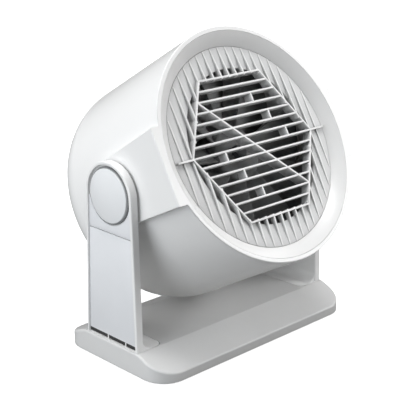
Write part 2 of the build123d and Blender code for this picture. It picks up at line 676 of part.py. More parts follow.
def bezel_screws():
    low = -(LUG_START + LUG_DEPTH)
    return [Pos(x, y, low) * screw(LUG_DEPTH + 6, head=2.4) for x, y in head_lugs()]


def front_grille():
    half_rib = RIB / 2 / cos(radians(30))
    outer = RegularPolygon(WINDOW_RADIUS + half_rib, 6)
    inner = RegularPolygon(WINDOW_RADIUS - half_rib, 6)
    face = -GRILLE_SET_BACK
    floor_back = -(BEZEL_DROP + GRILLE_FLOOR)
    slat_pitch = WINDOW_RADIUS * cos(radians(30)) / SLAT_ROWS
    rib_pitch = WINDOW_RADIUS / 8

    lines = Rectangle(2 * WINDOW_RADIUS, RIB)
    for row in range(1, SLAT_ROWS):
        lines += Pos(0, row * slat_pitch) * Rectangle(2 * WINDOW_RADIUS, RIB)
        lines += Pos(0, -row * slat_pitch) * Rectangle(2 * WINDOW_RADIUS, RIB)
    for step in range(3):
        upper = Pos(UPPER_RIB_START + step * CROSS_RIB_STEP, (4.5 - 2 * step) * slat_pitch)
        lower = Pos(LOWER_RIB_START + step * CROSS_RIB_STEP, (-0.5 - 2 * step) * slat_pitch)
        lines += upper * Rectangle(RIB, slat_pitch)
        lines += lower * Rectangle(RIB, slat_pitch)
    window = (outer - inner) + (lines & inner)
    grille = extrude(Plane.XY.offset(face - SLAT_DEPTH) * window, SLAT_DEPTH)

    strut_run = 4 * WINDOW_RADIUS
    strut = (Rot(0, 0, -44.2) * Rectangle(strut_run, RIB)) & inner
    within = Rectangle(4 * WINDOW_RADIUS, 2 * 5 * slat_pitch + RIB)
    grille += extrude(Plane.XY.offset(face - STRUT_DEPTH) * (strut & within), STRUT_DEPTH)

    ribs = Rectangle(RIB, 2 * GRILLE_RADIUS)
    reach = int(GRILLE_RADIUS / rib_pitch)
    for column in range(1, reach + 1):
        ribs += Pos(column * rib_pitch, 0) * Rectangle(RIB, 2 * GRILLE_RADIUS)
        ribs += Pos(-column * rib_pitch, 0) * Rectangle(RIB, 2 * GRILLE_RADIUS)
    ribs = (ribs & Circle(GRILLE_RADIUS)) - outer
    ribs = extrude(Plane.XY.offset(floor_back) * ribs, face - floor_back)
    ramp_start = WINDOW_RADIUS * cos(radians(30))
    ribs &= turned(
        (0, face), (ramp_start, face), (GRILLE_RADIUS, -BEZEL_DROP + 0.2),
        (GRILLE_RADIUS, floor_back), (0, floor_back),
    )
    bar = Rectangle(2 * MIDDLE_BAR_HALF, RIB) - outer
    bar = extrude(Plane.XY.offset(floor_back) * bar, face - floor_back)
    floor = Circle(GRILLE_RADIUS) - Circle(FLOOR_HOLE) - inner
    floor = extrude(Plane.XY.offset(floor_back) * floor, GRILLE_FLOOR)
    return grille + ribs + bar + floor


def rear_grille():
    back = -HEAD_LENGTH
    front = back + REAR_SEAT_DEPTH
    plan = Circle(REAR_SEAT - FIT_GAP) - Circle(REAR_OPENING - 1)
    for step in range(1, REAR_RING_COUNT + 1):
        radius = REAR_HUB + step * REAR_RING_PITCH
        plan += Circle(radius + REAR_RING_WIDTH / 2) - Circle(radius - REAR_RING_WIDTH / 2)
    spoke_length = REAR_OPENING - REAR_HUB + 2
    for x, y in ring_of(REAR_SPOKES, REAR_HUB - 1 + spoke_length / 2):
        plan += Pos(x, y) * Rot(0, 0, atan2(y, x) * 180 / pi) * Rectangle(spoke_length, REAR_RING_WIDTH)
    plan += Circle(REAR_HUB)
    plan -= Circle(SPEED_SHAFT + FIT_GAP)
    grille = extrude(Plane.XY.offset(back) * plan, REAR_SEAT_DEPTH)
    for x, y in ring_of(4, REAR_SCREW_CIRCLE, 45):
        grille -= rod(SCREW_RADIUS + THREAD_GAP, back - 1, front + 1, x, y)
    width, depth, _ = SWITCH_SIZE
    cup = Rectangle(width + 4, depth + 4) - Rectangle(width + 2 * FIT_GAP, depth + 2 * FIT_GAP)
    return grille + extrude(Plane.XY.offset(front - 0.4) * cup, 6)


def rear_grille_screws():
    one = screw(REAR_RIM_DEPTH - 1.2, head=2.6, head_height=1.1)
    return [Pos(x, y, -HEAD_LENGTH) * one for x, y in ring_of(4, REAR_SCREW_CIRCLE, 45)]


def speed_switch():
    width, depth, height = SWITCH_SIZE
    low = -HEAD_LENGTH + REAR_SEAT_DEPTH
    body = block((-width / 2, -depth / 2, low), (width / 2, depth / 2, low + height))
    body = fillet(body.edges().filter_by(Axis.Z), 2)
    top, half = low + height, TERMINAL_THICKNESS / 2
    pins = block((-TERMINAL_SPREAD, -half, top - half), (TERMINAL_SPREAD, half, top + TERMINAL_HEIGHT))
    middle = TERMINAL_SPREAD / 2
    pins -= block((-middle, -half - 1, top), (middle, half + 1, top + TERMINAL_HEIGHT + 1))
    return body + pins


def speed_knob_top():
    """Face of the speed knob next to the grille's hub."""
    return -HEAD_LENGTH - 2 * SWING_GAP


def speed_shaft_end():
    return speed_knob_top() - SPEED_KNOB_HEIGHT + SPEED_SHAFT_END


def speed_shaft():
    """The switch's own spindle, which turns with the knob."""
    return rod(SPEED_SHAFT, speed_shaft_end(), -HEAD_LENGTH + REAR_SEAT_DEPTH - FIT_GAP)


def speed_knob():
    top = speed_knob_top()
    tip = top - SPEED_KNOB_HEIGHT
    knob = rod(SPEED_KNOB_RADIUS, tip, top)
    knob = fillet(knob.edges().group_by(Axis.Z)[0], SPEED_KNOB_EDGE)
    for x, y in ring_of(FLUTES, SPEED_KNOB_RADIUS + FLUTE_RADIUS / 2):
        knob -= rod(FLUTE_RADIUS, tip + 2 * SPEED_KNOB_EDGE, top + 1, x, y)
    half = POINTER_WIDTH / 2
    pointer = block((-half, SPEED_SHAFT + 1, tip - 1), (half, SPEED_KNOB_RADIUS - 2.5, tip + half))
    return knob - pointer - rod(SPEED_SHAFT, speed_shaft_end(), 0)


# ---- motor, about the drum's axis ----
def motor_front():
    return -MOTOR_FRONT


def motor_back():
    return -(MOTOR_FRONT + MOTOR_LENGTH)


def motor_can():
    front, back = motor_front() - 4, motor_back()
    can = tube(MOTOR_RADIUS, MOTOR_RADIUS - MOTOR_WALL, back + MOTOR_WALL, front)
    end = tube(MOTOR_RADIUS, BEARING_RADIUS, back, back + MOTOR_WALL)
    seat = tube(BEARING_RADIUS + MOTOR_WALL, BEARING_RADIUS, back, back + BEARING_WIDTH)
    can = can + end + seat
    for x, y in ring_of(3, MOTOR_RADIUS - 6, 30):
        can -= rod(SCREW_RADIUS + THREAD_GAP, back - 1, back + MOTOR_WALL + 1, x, y)
    return can


def motor_front_cap():
    front = motor_front()
    disc = tube(MOTOR_RADIUS, BEARING_RADIUS, front - 4, front - 4 + MOTOR_WALL)
    step = tube(BEARING_RADIUS + MOTOR_WALL, BEARING_RADIUS, front - 4 - BEARING_WIDTH + MOTOR_WALL, front)
    for x, y in ring_of(6, MOTOR_RADIUS - 7):
        disc -= rod(2.6, front - 6, front, x, y)
    return disc + step


def bearing(centre):
    low, high = centre - BEARING_WIDTH / 2, centre + BEARING_WIDTH / 2
    return tube(BEARING_RADIUS, SHAFT_RADIUS + THREAD_GAP, low, high)


def front_bearing():
    return bearing(motor_front() - 4 + MOTOR_WALL - BEARING_WIDTH / 2)


def rear_bearing():
    return bearing(motor_back() + BEARING_WIDTH / 2)


def core_middle():
    return (motor_front() - 4 + motor_back()) / 2


def stator_core():
    low, high = core_middle() - CORE_LENGTH / 2, core_middle() + CORE_LENGTH / 2
    outer = MOTOR_RADIUS - MOTOR_WALL - THREAD_GAP
    core = tube(outer, STATOR_INNER, low, high)
    for x, y in ring_of(6, (outer + STATOR_INNER) / 2 - 0.6, 30):
        core -= rod(2.4, low - 1, high + 1, x, y)
    return core


def stator_windings():
    """Coils in the stator's slots with a wound ring at each end."""
    low, high = core_middle() - CORE_LENGTH / 2, core_middle() + CORE_LENGTH / 2
    outer = MOTOR_RADIUS - MOTOR_WALL - THREAD_GAP
    middle = (outer + STATOR_INNER) / 2 - 0.6
    rings = tube(middle + 2.2, middle - 2.2, high + FIT_GAP, high + 3)
    rings += tube(middle + 2.2, middle - 2.2, low - 3, low - FIT_GAP)
    for x, y in ring_of(6, middle, 30):
        rings += rod(2.4 - FIT_GAP, low - 1, high + 1, x, y)
    return rings


def rotor_core():
    low, high = core_middle() - CORE_LENGTH / 2, core_middle() + CORE_LENGTH / 2
    return tube(ROTOR_RADIUS, SHAFT_RADIUS, low, high)


def shaft_end():
    """The shaft stops inside the impeller's nut."""
    return -IMPELLER_FRONT + NUT_END - 1.6


def motor_shaft():
    shaft = rod(SHAFT_RADIUS, motor_back() - 2, shaft_end())
    return chamfer(shaft.edges().group_by(Axis.Z)[-1], 0.5)


def motor_screw_spots():
    return ring_of(3, MOTOR_RADIUS - 6, 30)


def motor_mount():
    """Three-armed spider behind the motor, on rubber grommets."""
    plan = Circle(MOUNT_RING)
    for x, y in mount_spots():
        turn = Rot(0, 0, atan2(y, x) * 180 / pi)
        plan += Pos(x / 2, y / 2) * turn * Rectangle(MOUNT_CIRCLE, MOUNT_ARM)
        plan += Pos(x, y) * Circle(MOUNT_ARM / 2)
    plan -= Circle(BEARING_RADIUS + 1)
    low = motor_back() - MOUNT_THICKNESS
    mount = extrude(Plane.XY.offset(low) * plan, MOUNT_THICKNESS)
    for x, y in mount_spots() + motor_screw_spots():
        mount -= rod(SCREW_RADIUS + THREAD_GAP, low - 1, low + MOUNT_THICKNESS + 1, x, y)
    return mount


def mount_grommets():
    low = mount_face()
    grommet = tube(MOUNT_ARM / 2, SCREW_RADIUS + THREAD_GAP, low, low + GROMMET_HEIGHT)
    return [Pos(x, y) * grommet for x, y in mount_spots()]


def mount_screws():
    """Screws from the front, through the mount and its grommets."""
    reach = MOUNT_THICKNESS + GROMMET_HEIGHT + MOUNT_LUG - 3
    one = Rot(180, 0, 0) * screw(reach, head_height=1.8)
    return [Pos(x, y, motor_back()) * one for x, y in mount_spots()]


def motor_screws():
    low = motor_back() - MOUNT_THICKNESS
    return [Pos(x, y, low) * screw(MOUNT_THICKNESS + MOTOR_WALL + 1) for x, y in motor_screw_spots()]


def blade():
    """One twisted blade along +X, cut round at the tip."""
    middle = -(IMPELLER_FRONT + HUB_LENGTH / 2)
    sections = []
    spans = [(HUB_RADIUS - HUB_WALL / 2, ROOT_CHORD, ROOT_PITCH), (IMPELLER_RADIUS + 3, TIP_CHORD, TIP_PITCH)]
    for radius, chord, pitch in spans:
        across = Plane(origin=(radius, 0, middle), x_dir=(0, 1, 0), z_dir=(1, 0, 0))
        sections.append(across * (Rot(0, 0, pitch) * Rectangle(chord, BLADE_THICKNESS)))
    swept = loft(sections, ruled=True)
    return swept & rod(IMPELLER_RADIUS, -HEAD_LENGTH, 0)


def impeller():
    front = -IMPELLER_FRONT
    back = front - HUB_LENGTH
    hub = tube(HUB_RADIUS, HUB_RADIUS - HUB_WALL, back, front)
    hub += tube(HUB_RADIUS, SHAFT_RADIUS, front - HUB_WALL, front)
    hub = fillet(hub.edges().group_by(Axis.Z)[-1].sort_by(SortBy.LENGTH)[-1:], 1.8)
    hub += tube(SHAFT_RADIUS + 4, SHAFT_RADIUS, back + 6, front - HUB_WALL / 2)
    one = blade()
    for turn in range(BLADES):
        hub += Rot(0, 0, 360 * turn / BLADES) * one
    return hub


def impeller_nut():
    low = -IMPELLER_FRONT
    nut = hexagon(HEX_FLATS - 2, low, low + NUT_END)
    nut = nut & turned((0, low), (HEX_FLATS, low), (HEX_FLATS / 2 - 0.4, low + NUT_END), (0, low + NUT_END))
    return nut - rod(SHAFT_RADIUS + THREAD_GAP, low - 1, shaft_end() + 0.2)


# ---- all nodes ----
def in_place(shape, place):
    """Move a piece, or a group of separate pieces, to its place."""
    if isinstance(shape, list):
        return Compound(children=[place * piece for piece in shape])
    return place * shape


def one_of_each():
    return {
        "base_shell": base_shell(),
        "base_plate": base_plate(),
        "base_ballast": base_ballast(),
        "ballast_screws": in_place(ballast_screws(), Pos()),
        "base_screws": in_place(base_screws(), Pos()),
        "anti_slip_pad": anti_slip_pad(),
        "power_socket": power_socket(),
        "inlet_board": inlet_board(),
    }


def leg_nodes():
    """Both legs: the +X side, and its mirror image."""
    right = {
        "leg_frame": leg_frame(),
        "leg_cover_upper": leg_cover(True),
        "leg_cover_lower": leg_cover(False),
        "leg_slot_strip": slot_strip(),
        "leg_screws": in_place(leg_screws(), Pos()),
    }
    nodes = {f"{name}_right": shape for name, shape in right.items()}
    nodes.update({f"{name}_left": mirror(shape, Plane.YZ) for name, shape in right.items()})
    return nodes


def pivot_nodes():
    nodes = {}
    for name, side in SIDES.items():
        place = outward(side)
        nodes[f"pivot_bush_{name}"] = place * pivot_bush()
        nodes[f"friction_washer_{name}"] = place * friction_washer()
        nodes[f"clamp_bolt_{name}"] = place * clamp_bolt()
        nodes[f"tilt_knob_{name}"] = place * tilt_knob()
        nodes[f"knob_ring_{name}"] = place * knob_ring()
        inner = HEAD_PLACE * head_outward(side)
        nodes[f"trunnion_{name}"] = inner * trunnion()
        nodes[f"trunnion_screws_{name}"] = in_place(trunnion_screws(), inner)
        nodes[f"clamp_nut_{name}"] = inner * clamp_nut()
    return nodes


def head_nodes():
    makers = [
        drum_shell, front_bezel, bezel_screws, front_grille, rear_grille, rear_grille_screws,
        speed_switch, speed_shaft, speed_knob, motor_can, motor_front_cap, front_bearing, rear_bearing,
        stator_core, stator_windings, rotor_core, motor_shaft, motor_mount, mount_grommets, mount_screws,
        motor_screws, impeller, impeller_nut,
    ]
    return {maker.__name__: in_place(maker(), HEAD_PLACE) for maker in makers}


os.makedirs("parts", exist_ok=True)
for node, shape in {**one_of_each(), **leg_nodes(), **pivot_nodes(), **head_nodes()}.items():
    export_step(shape, f"parts/{node}.step")
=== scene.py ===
import json
import logging
from collections.abc import Callable, Iterable
from dataclasses import dataclass, field
from enum import Enum
from math import atan2, cos, hypot, pi, radians, sin, sqrt

import bmesh
import bpy
from mathutils import Matrix, Vector


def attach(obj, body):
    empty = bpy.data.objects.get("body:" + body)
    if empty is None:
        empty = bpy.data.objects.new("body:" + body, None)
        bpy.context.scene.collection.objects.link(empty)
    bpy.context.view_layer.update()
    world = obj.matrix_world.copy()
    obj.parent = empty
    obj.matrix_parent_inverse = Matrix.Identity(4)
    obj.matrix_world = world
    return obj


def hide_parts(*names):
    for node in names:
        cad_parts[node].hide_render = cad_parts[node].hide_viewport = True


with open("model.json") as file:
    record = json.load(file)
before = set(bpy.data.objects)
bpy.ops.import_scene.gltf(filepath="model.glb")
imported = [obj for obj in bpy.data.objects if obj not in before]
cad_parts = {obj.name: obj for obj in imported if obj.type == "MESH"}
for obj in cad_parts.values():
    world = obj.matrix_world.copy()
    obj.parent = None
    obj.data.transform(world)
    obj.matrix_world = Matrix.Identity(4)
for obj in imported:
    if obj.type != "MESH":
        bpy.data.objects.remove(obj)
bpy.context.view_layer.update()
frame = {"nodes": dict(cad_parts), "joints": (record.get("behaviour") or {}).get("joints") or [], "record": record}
LOG = logging.getLogger("desk_fan")
MM = 0.001

Colour = tuple[float, float, float]
Point = tuple[float, float, float]


# ---------------------------------------------------------------- places in the frame
def joint(name: str) -> dict:
    """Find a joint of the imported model.

    Args:
        name: The joint's name.

    Returns:
        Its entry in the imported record.
    """
    return next(entry for entry in frame["joints"] if entry["name"] == name)


PIVOT = Vector(joint("head_tilt")["pos_m"])
DRUM_AXIS = Vector(joint("impeller_spin")["axis"]).normalized()
DRUM_POINT = Vector(joint("impeller_spin")["pos_m"])
FACE_UP = DRUM_AXIS.cross(Vector((1.0, 0.0, 0.0))).normalized()


def front_plane() -> float:
    """Distance of the head's front plane from the drum's axis point, along the axis."""
    mesh = frame["nodes"]["drum_shell"].data
    return max((vertex.co - DRUM_POINT).dot(DRUM_AXIS) for vertex in mesh.vertices)


FRONT = front_plane()
HEAD_PLACE = Matrix.Translation(DRUM_POINT + DRUM_AXIS * FRONT) @ Matrix((
    (1.0, FACE_UP.x, DRUM_AXIS.x),
    (0.0, FACE_UP.y, DRUM_AXIS.y),
    (0.0, FACE_UP.z, DRUM_AXIS.z),
)).to_4x4()


def side_place(side: int) -> Matrix:
    """Place whose local +Z points outwards along the tilt axis.

    Args:
        side: -1 for the left side and +1 for the right.

    Returns:
        The matrix from the local place to the row's frame.
    """
    return Matrix.Translation(PIVOT) @ Matrix.Rotation(side * pi / 2, 4, "Y")


class Side(Enum):
    """The two sides of the fan."""

    LEFT = -1
    RIGHT = 1

    @property
    def word(self) -> str:
        """The side's word in node names."""
        return self.name.lower()


# ---------------------------------------------------------------- node helpers
class Nodes:
    """A material's or group's node tree, with short calls to add and join nodes."""

    def __init__(self, tree: bpy.types.NodeTree) -> None:
        """Keep the tree that the calls work on."""
        self.tree = tree

    def add(self, kind: str, **settings: object) -> bpy.types.Node:
        """Add a node.

        Args:
            kind: The node's type, such as ShaderNodeMath.
            **settings: Properties to set on it.

        Returns:
            The new node.
        """
        node = self.tree.nodes.new(kind)
        for name, value in settings.items():
            setattr(node, name, value)
        return node

    def join(self, source: bpy.types.NodeSocket, target: bpy.types.NodeSocket) -> None:
        """Link one socket to another."""
        self.tree.links.new(source, target)

    def feed(self, target: bpy.types.NodeSocket, value: object) -> None:
        """Link a socket, or set it to a plain value.

        Args:
            target: The input socket.
            value: A socket to link, or the value to set.
        """
        if isinstance(value, bpy.types.NodeSocket):
            self.join(value, target)
        else:
            target.default_value = value

    def math(
        self, operation: str, first: object, second: object = 0.0, clamp: bool = False,
    ) -> bpy.types.NodeSocket:
        """Add a Math node.

        Args:
            operation: What it works out, by the node's own word.
            first: Its first value or socket.
            second: Its second value or socket.
            clamp: Whether the result is kept from 0 to 1.

        Returns:
            Its result.
        """
        node = self.add("ShaderNodeMath", operation=operation, use_clamp=clamp)
        self.feed(node.inputs[0], first)
        self.feed(node.inputs[1], second)
        return node.outputs[0]

    def noise(
        self, vector: object, scale: float, detail: float = 3.0, roughness: float = 0.5,
    ) -> bpy.types.NodeSocket:
        """Add a noise pattern.

        Args:
            vector: Where the pattern is read.
            scale: How fine it is.
            detail: How many finer layers it has.
            roughness: How strong the finer layers are.

        Returns:
            Its value.
        """
        node = self.add("ShaderNodeTexNoise")
        self.feed(node.inputs["Vector"], vector)
        node.inputs["Scale"].default_value = scale
        node.inputs["Detail"].default_value = detail
        node.inputs["Roughness"].default_value = roughness
        return node.outputs["Fac"]

    def blend(self, amount: object, first: object, second: object) -> bpy.types.NodeSocket:
        """Mix two colours.

        Args:
            amount: How much of the second shows, from 0 to 1.
            first: The colour at 0.
            second: The colour at 1.

        Returns:
            The mixed colour.
        """
        node = self.add("ShaderNodeMix", data_type="RGBA")
        self.feed(node.inputs[0], amount)
        self.feed(node.inputs[6], first)
        self.feed(node.inputs[7], second)
        return node.outputs[2]

    def spread(
        self, value: object, low: float, high: float, start: float, end: float,
    ) -> bpy.types.NodeSocket:
        """Map a value from one range to another, clamped.

        Args:
            value: The value or socket to map.
            low: The value that becomes start.
            high: The value that becomes end.
            start: The result at low.
            end: The result at high.

        Returns:
            The mapped value.
        """
        node = self.add("ShaderNodeMapRange")
        self.feed(node.inputs[0], value)
        for index, number in enumerate((low, high, start, end), start=1):
            node.inputs[index].default_value = number
        return node.outputs[0]


def new_group(
    name: str, inputs: dict[str, tuple[str, object]], outputs: dict[str, str],
) -> tuple[Nodes, dict, dict]:
    """Start a shader node group.

    Args:
        name: The group's name.
        inputs: Each input's socket type and default value.
        outputs: Each output's socket type.

    Returns:
        The group's nodes, its input sockets by name, and its output sockets by name.
    """
    tree = bpy.data.node_groups.new(name, "ShaderNodeTree")
    for label, (kind, value) in inputs.items():
        socket = tree.interface.new_socket(label, in_out="INPUT", socket_type=kind)
        socket.default_value = value
    for label, kind in outputs.items():
        tree.interface.new_socket(label, in_out="OUTPUT", socket_type=kind)
    nodes = Nodes(tree)
    source = nodes.add("NodeGroupInput")
    target = nodes.add("NodeGroupOutput")
    return nodes, {s.name: s for s in source.outputs}, {s.name: s for s in target.inputs}


FLOAT = "NodeSocketFloat"


def moulded_grain_group() -> bpy.types.NodeTree:
    """Fine spark-eroded grain of a moulded surface, with slow waviness and uneven gloss.

    Returns:
        The group's tree.
    """
    inputs = {
        "Grain": (FLOAT, 1400.0), "Waviness": (FLOAT, 0.3),
        "Roughness": (FLOAT, 0.35), "Variation": (FLOAT, 0.08),
    }
    nodes, given, made = new_group("moulded_grain", inputs, {"Height": FLOAT, "Roughness": FLOAT})
    place = nodes.add("ShaderNodeTexCoord").outputs["Object"]
    fine = nodes.add("ShaderNodeTexNoise")
    nodes.join(place, fine.inputs["Vector"])
    nodes.join(given["Grain"], fine.inputs["Scale"])
    fine.inputs["Detail"].default_value = 2.0
    slow = nodes.noise(place, 22.0, 2.0)
    raised = nodes.math("MULTIPLY", slow, given["Waviness"])
    nodes.join(nodes.math("ADD", fine.outputs["Fac"], raised), made["Height"])
    patches = nodes.math("SUBTRACT", nodes.noise(place, 9.0, 4.0, 0.6), 0.5)
    change = nodes.math("MULTIPLY", patches, given["Variation"])
    nodes.join(nodes.math("ADD", given["Roughness"], change, clamp=True), made["Roughness"])
    return nodes.tree


def edge_wear_group() -> bpy.types.NodeTree:
    """Mask of worn or polished edges, broken up so that it isn't a clean line.

    Returns:
        The group's tree.
    """
    inputs = {"Amount": (FLOAT, 0.5), "Break": (FLOAT, 260.0), "Reach": (FLOAT, 0.0006)}
    nodes, given, made = new_group("edge_wear", inputs, {"Mask": FLOAT})
    near = nodes.add("ShaderNodeAmbientOcclusion", samples=4, inside=True, only_local=True)
    nodes.join(given["Reach"], near.inputs["Distance"])
    edge = nodes.spread(near.outputs["AO"], 0.25, 0.85, 1.0, 0.0)
    place = nodes.add("ShaderNodeTexCoord").outputs["Object"]
    broken = nodes.add("ShaderNodeTexNoise")
    nodes.join(place, broken.inputs["Vector"])
    nodes.join(given["Break"], broken.inputs["Scale"])
    patchy = nodes.spread(broken.outputs["Fac"], 0.35, 0.65, 0.2, 1.0)
    worn = nodes.math("MULTIPLY", edge, patchy)
    nodes.join(nodes.math("MULTIPLY", worn, given["Amount"], clamp=True), made["Mask"])
    return nodes.tree


def settled_dust_group() -> bpy.types.NodeTree:
    """Mask of dust: in corners, and on what faces up.

    Returns:
        The group's tree.
    """
    inputs = {"Amount": (FLOAT, 0.3), "Reach": (FLOAT, 0.006)}
    nodes, given, made = new_group("settled_dust", inputs, {"Mask": FLOAT})
    corner = nodes.add("ShaderNodeAmbientOcclusion", samples=4)
    nodes.join(given["Reach"], corner.inputs["Distance"])
    hidden = nodes.spread(corner.outputs["AO"], 0.35, 0.95, 1.0, 0.0)
    facing = nodes.add("ShaderNodeSeparateXYZ")
    nodes.join(nodes.add("ShaderNodeNewGeometry").outputs["Normal"], facing.inputs[0])
    upward = nodes.spread(facing.outputs["Z"], 0.2, 1.0, 0.25, 1.0)
    place = nodes.add("ShaderNodeTexCoord").outputs["Object"]
    specks = nodes.spread(nodes.noise(place, 420.0, 5.0, 0.7), 0.4, 0.7, 0.3, 1.0)
    mask = nodes.math("MULTIPLY", nodes.math("MULTIPLY", hidden, upward), specks)
    nodes.join(nodes.math("MULTIPLY", mask, given["Amount"], clamp=True), made["Mask"])
    return nodes.tree


def crevice_group() -> bpy.types.NodeTree:
    """Smooth mask of painted shade in the narrow places between bars and under edges, where the colour is darkened
    to stand in for shade.

    Returns:
        The group's tree.
    """
    inputs = {"Amount": (FLOAT, 0.4), "Reach": (FLOAT, 0.005)}
    nodes, given, made = new_group("crevice", inputs, {"Mask": FLOAT})
    near = nodes.add("ShaderNodeAmbientOcclusion", samples=6)
    nodes.join(given["Reach"], near.inputs["Distance"])
    narrow = nodes.spread(near.outputs["AO"], 0.3, 0.9, 1.0, 0.0)
    nodes.join(nodes.math("MULTIPLY", narrow, given["Amount"], clamp=True), made["Mask"])
    return nodes.tree


GROUPS: dict[str, bpy.types.NodeTree] = {}


def shared_group(maker: Callable[[], bpy.types.NodeTree]) -> bpy.types.NodeTree:
    """Build a shared effect once, and hand out the same group afterwards.

    Args:
        maker: The function that builds the effect's group.

    Returns:
        The group.
    """
    if maker.__name__ not in GROUPS:
        GROUPS[maker.__name__] = maker()
    return GROUPS[maker.__name__]


def place_group(nodes: Nodes, maker: Callable[[], bpy.types.NodeTree], **values: float) -> bpy.types.Node:
    """Place a shared effect in a material.

    Args:
        nodes: The material's nodes.
        maker: The function that builds the effect's group.
        **values: The group's inputs, by name.

    Returns:
        The group node.
    """
    node = nodes.add("ShaderNodeGroup", node_tree=shared_group(maker))
    for name, value in values.items():
        node.inputs[name].default_value = value
    return node


# ---------------------------------------------------------------- finishes
BUMP_DISTANCE = 0.2 * MM
PLASTIC_IOR = 1.49
COAT_ROUGHNESS = 0.12
SCATTER_DEPTH = 1.5 * MM
SCATTER_TINT = (1.0, 0.9, 0.8)
WORN_GAIN = 1.04
WORN_LIFT = 0.015
DUST_GAIN = 0.6
DUST_LIFT = 0.2
# Share of a finish's colour kept where painted shade darkens narrow places.
PAINTED_SHADE_GAIN = 0.45
TRACK_GAIN = 1.8
GLOSS_CHANGE = 0.2


def opaque(colour: Iterable[float]) -> tuple[float, ...]:
    """The colour with full alpha."""
    return (*colour, 1.0)


def start_material(name: str) -> tuple[bpy.types.Material, Nodes, bpy.types.Node, bpy.types.NodeSocket]:
    """Start a material.

    Args:
        name: The material's name.

    Returns:
        The material, its nodes, its surface shader and its object coordinates.
    """
    material = bpy.data.materials.new(name)
    material.use_nodes = True
    nodes = Nodes(material.node_tree)
    place = nodes.add("ShaderNodeTexCoord").outputs["Object"]
    return material, nodes, material.node_tree.nodes["Principled BSDF"], place


def add_bump(nodes: Nodes, surface: bpy.types.Node, height: bpy.types.NodeSocket, strength: float) -> None:
    """Raise a surface by a height pattern.

    Args:
        nodes: The material's nodes.
        surface: Its surface shader.
        height: The height pattern.
        strength: How strongly it shows.
    """
    bump = nodes.add("ShaderNodeBump")
    bump.inputs["Strength"].default_value = strength
    bump.inputs["Distance"].default_value = BUMP_DISTANCE
    nodes.join(height, bump.inputs["Height"])
    nodes.join(bump.outputs["Normal"], surface.inputs["Normal"])


@dataclass(frozen=True)
class MouldedFinish:
    """A moulded plastic or rubber surface."""

    name: str
    colour: Colour
    roughness: float
    variation: float = 0.08
    grain: float = 1400.0
    bump: float = 0.08
    waviness: float = 0.3
    shade: float = 0.96
    wear: float = 0.25
    dust: float = 0.12
    # Strength and reach of the painted shade that darkens narrow places.
    crevice: float = 0.35
    crevice_reach: float = 0.005
    coat: float = 0.0
    scatter: float = 0.0

    def make(self) -> bpy.types.Material:
        """Build the material.

        Returns:
            The new material.
        """
        material, nodes, surface, place = start_material(self.name)
        grain = place_group(
            nodes, moulded_grain_group, Grain=self.grain, Waviness=self.waviness,
            Roughness=self.roughness, Variation=self.variation,
        )
        wear = place_group(nodes, edge_wear_group, Amount=self.wear)
        dust = place_group(nodes, settled_dust_group, Amount=self.dust)
        crevice = place_group(nodes, crevice_group, Amount=self.crevice, Reach=self.crevice_reach)
        darker = opaque(channel * self.shade for channel in self.colour)
        lighter = opaque(min(1.0, channel * WORN_GAIN + WORN_LIFT) for channel in self.colour)
        dusty = opaque(DUST_GAIN * channel + DUST_LIFT for channel in self.colour)
        # Darker copy of the colour, used as painted shade.
        painted_shade_colour = opaque(channel * PAINTED_SHADE_GAIN for channel in self.colour)
        clouds = nodes.spread(nodes.noise(place, 14.0, 4.0, 0.6), 0.35, 0.65, 0.0, 1.0)
        colour = nodes.blend(clouds, opaque(self.colour), darker)
        colour = nodes.blend(wear.outputs["Mask"], colour, lighter)
        # Painted shade: narrow places blend towards the darker copy of the colour.
        colour = nodes.blend(crevice.outputs["Mask"], colour, painted_shade_colour)
        colour = nodes.blend(dust.outputs["Mask"], colour, dusty)
        nodes.join(colour, surface.inputs["Base Color"])
        nodes.join(grain.outputs["Roughness"], surface.inputs["Roughness"])
        add_bump(nodes, surface, grain.outputs["Height"], self.bump)
        surface.inputs["IOR"].default_value = PLASTIC_IOR
        surface.inputs["Coat Weight"].default_value = self.coat
        surface.inputs["Coat Roughness"].default_value = COAT_ROUGHNESS
        surface.inputs["Subsurface Weight"].default_value = self.scatter
        surface.inputs["Subsurface Radius"].default_value = SCATTER_TINT
        surface.inputs["Subsurface Scale"].default_value = SCATTER_DEPTH
        return material


@dataclass(frozen=True)
class MetalFinish:
    """A plated, drawn or turned metal surface."""

    name: str
    colour: Colour
    roughness: float
    streak: Point = (60.0, 900.0, 900.0)
    bump: float = 0.05
    tarnish: Colour = (0.35, 0.34, 0.33)
    tarnish_amount: float = 0.25

    def make(self) -> bpy.types.Material:
        """Build the material.

        Returns:
            The new material.
        """
        material, nodes, surface, place = start_material(self.name)
        drawn = nodes.add("ShaderNodeMapping")
        nodes.join(place, drawn.inputs["Vector"])
        drawn.inputs["Scale"].default_value = self.streak
        lines = nodes.noise(drawn.outputs["Vector"], 1.0, 3.0, 0.6)
        patches = nodes.spread(nodes.noise(place, 60.0, 5.0, 0.65), 0.45, 0.7, 0.0, self.tarnish_amount)
        colour = nodes.blend(patches, opaque(self.colour), opaque(self.tarnish))
        nodes.join(colour, surface.inputs["Base Color"])
        surface.inputs["Metallic"].default_value = 1.0
        change = nodes.math("MULTIPLY", nodes.math("SUBTRACT", lines, 0.5), GLOSS_CHANGE)
        nodes.join(nodes.math("ADD", change, self.roughness, clamp=True), surface.inputs["Roughness"])
        add_bump(nodes, surface, lines, self.bump)
        return material


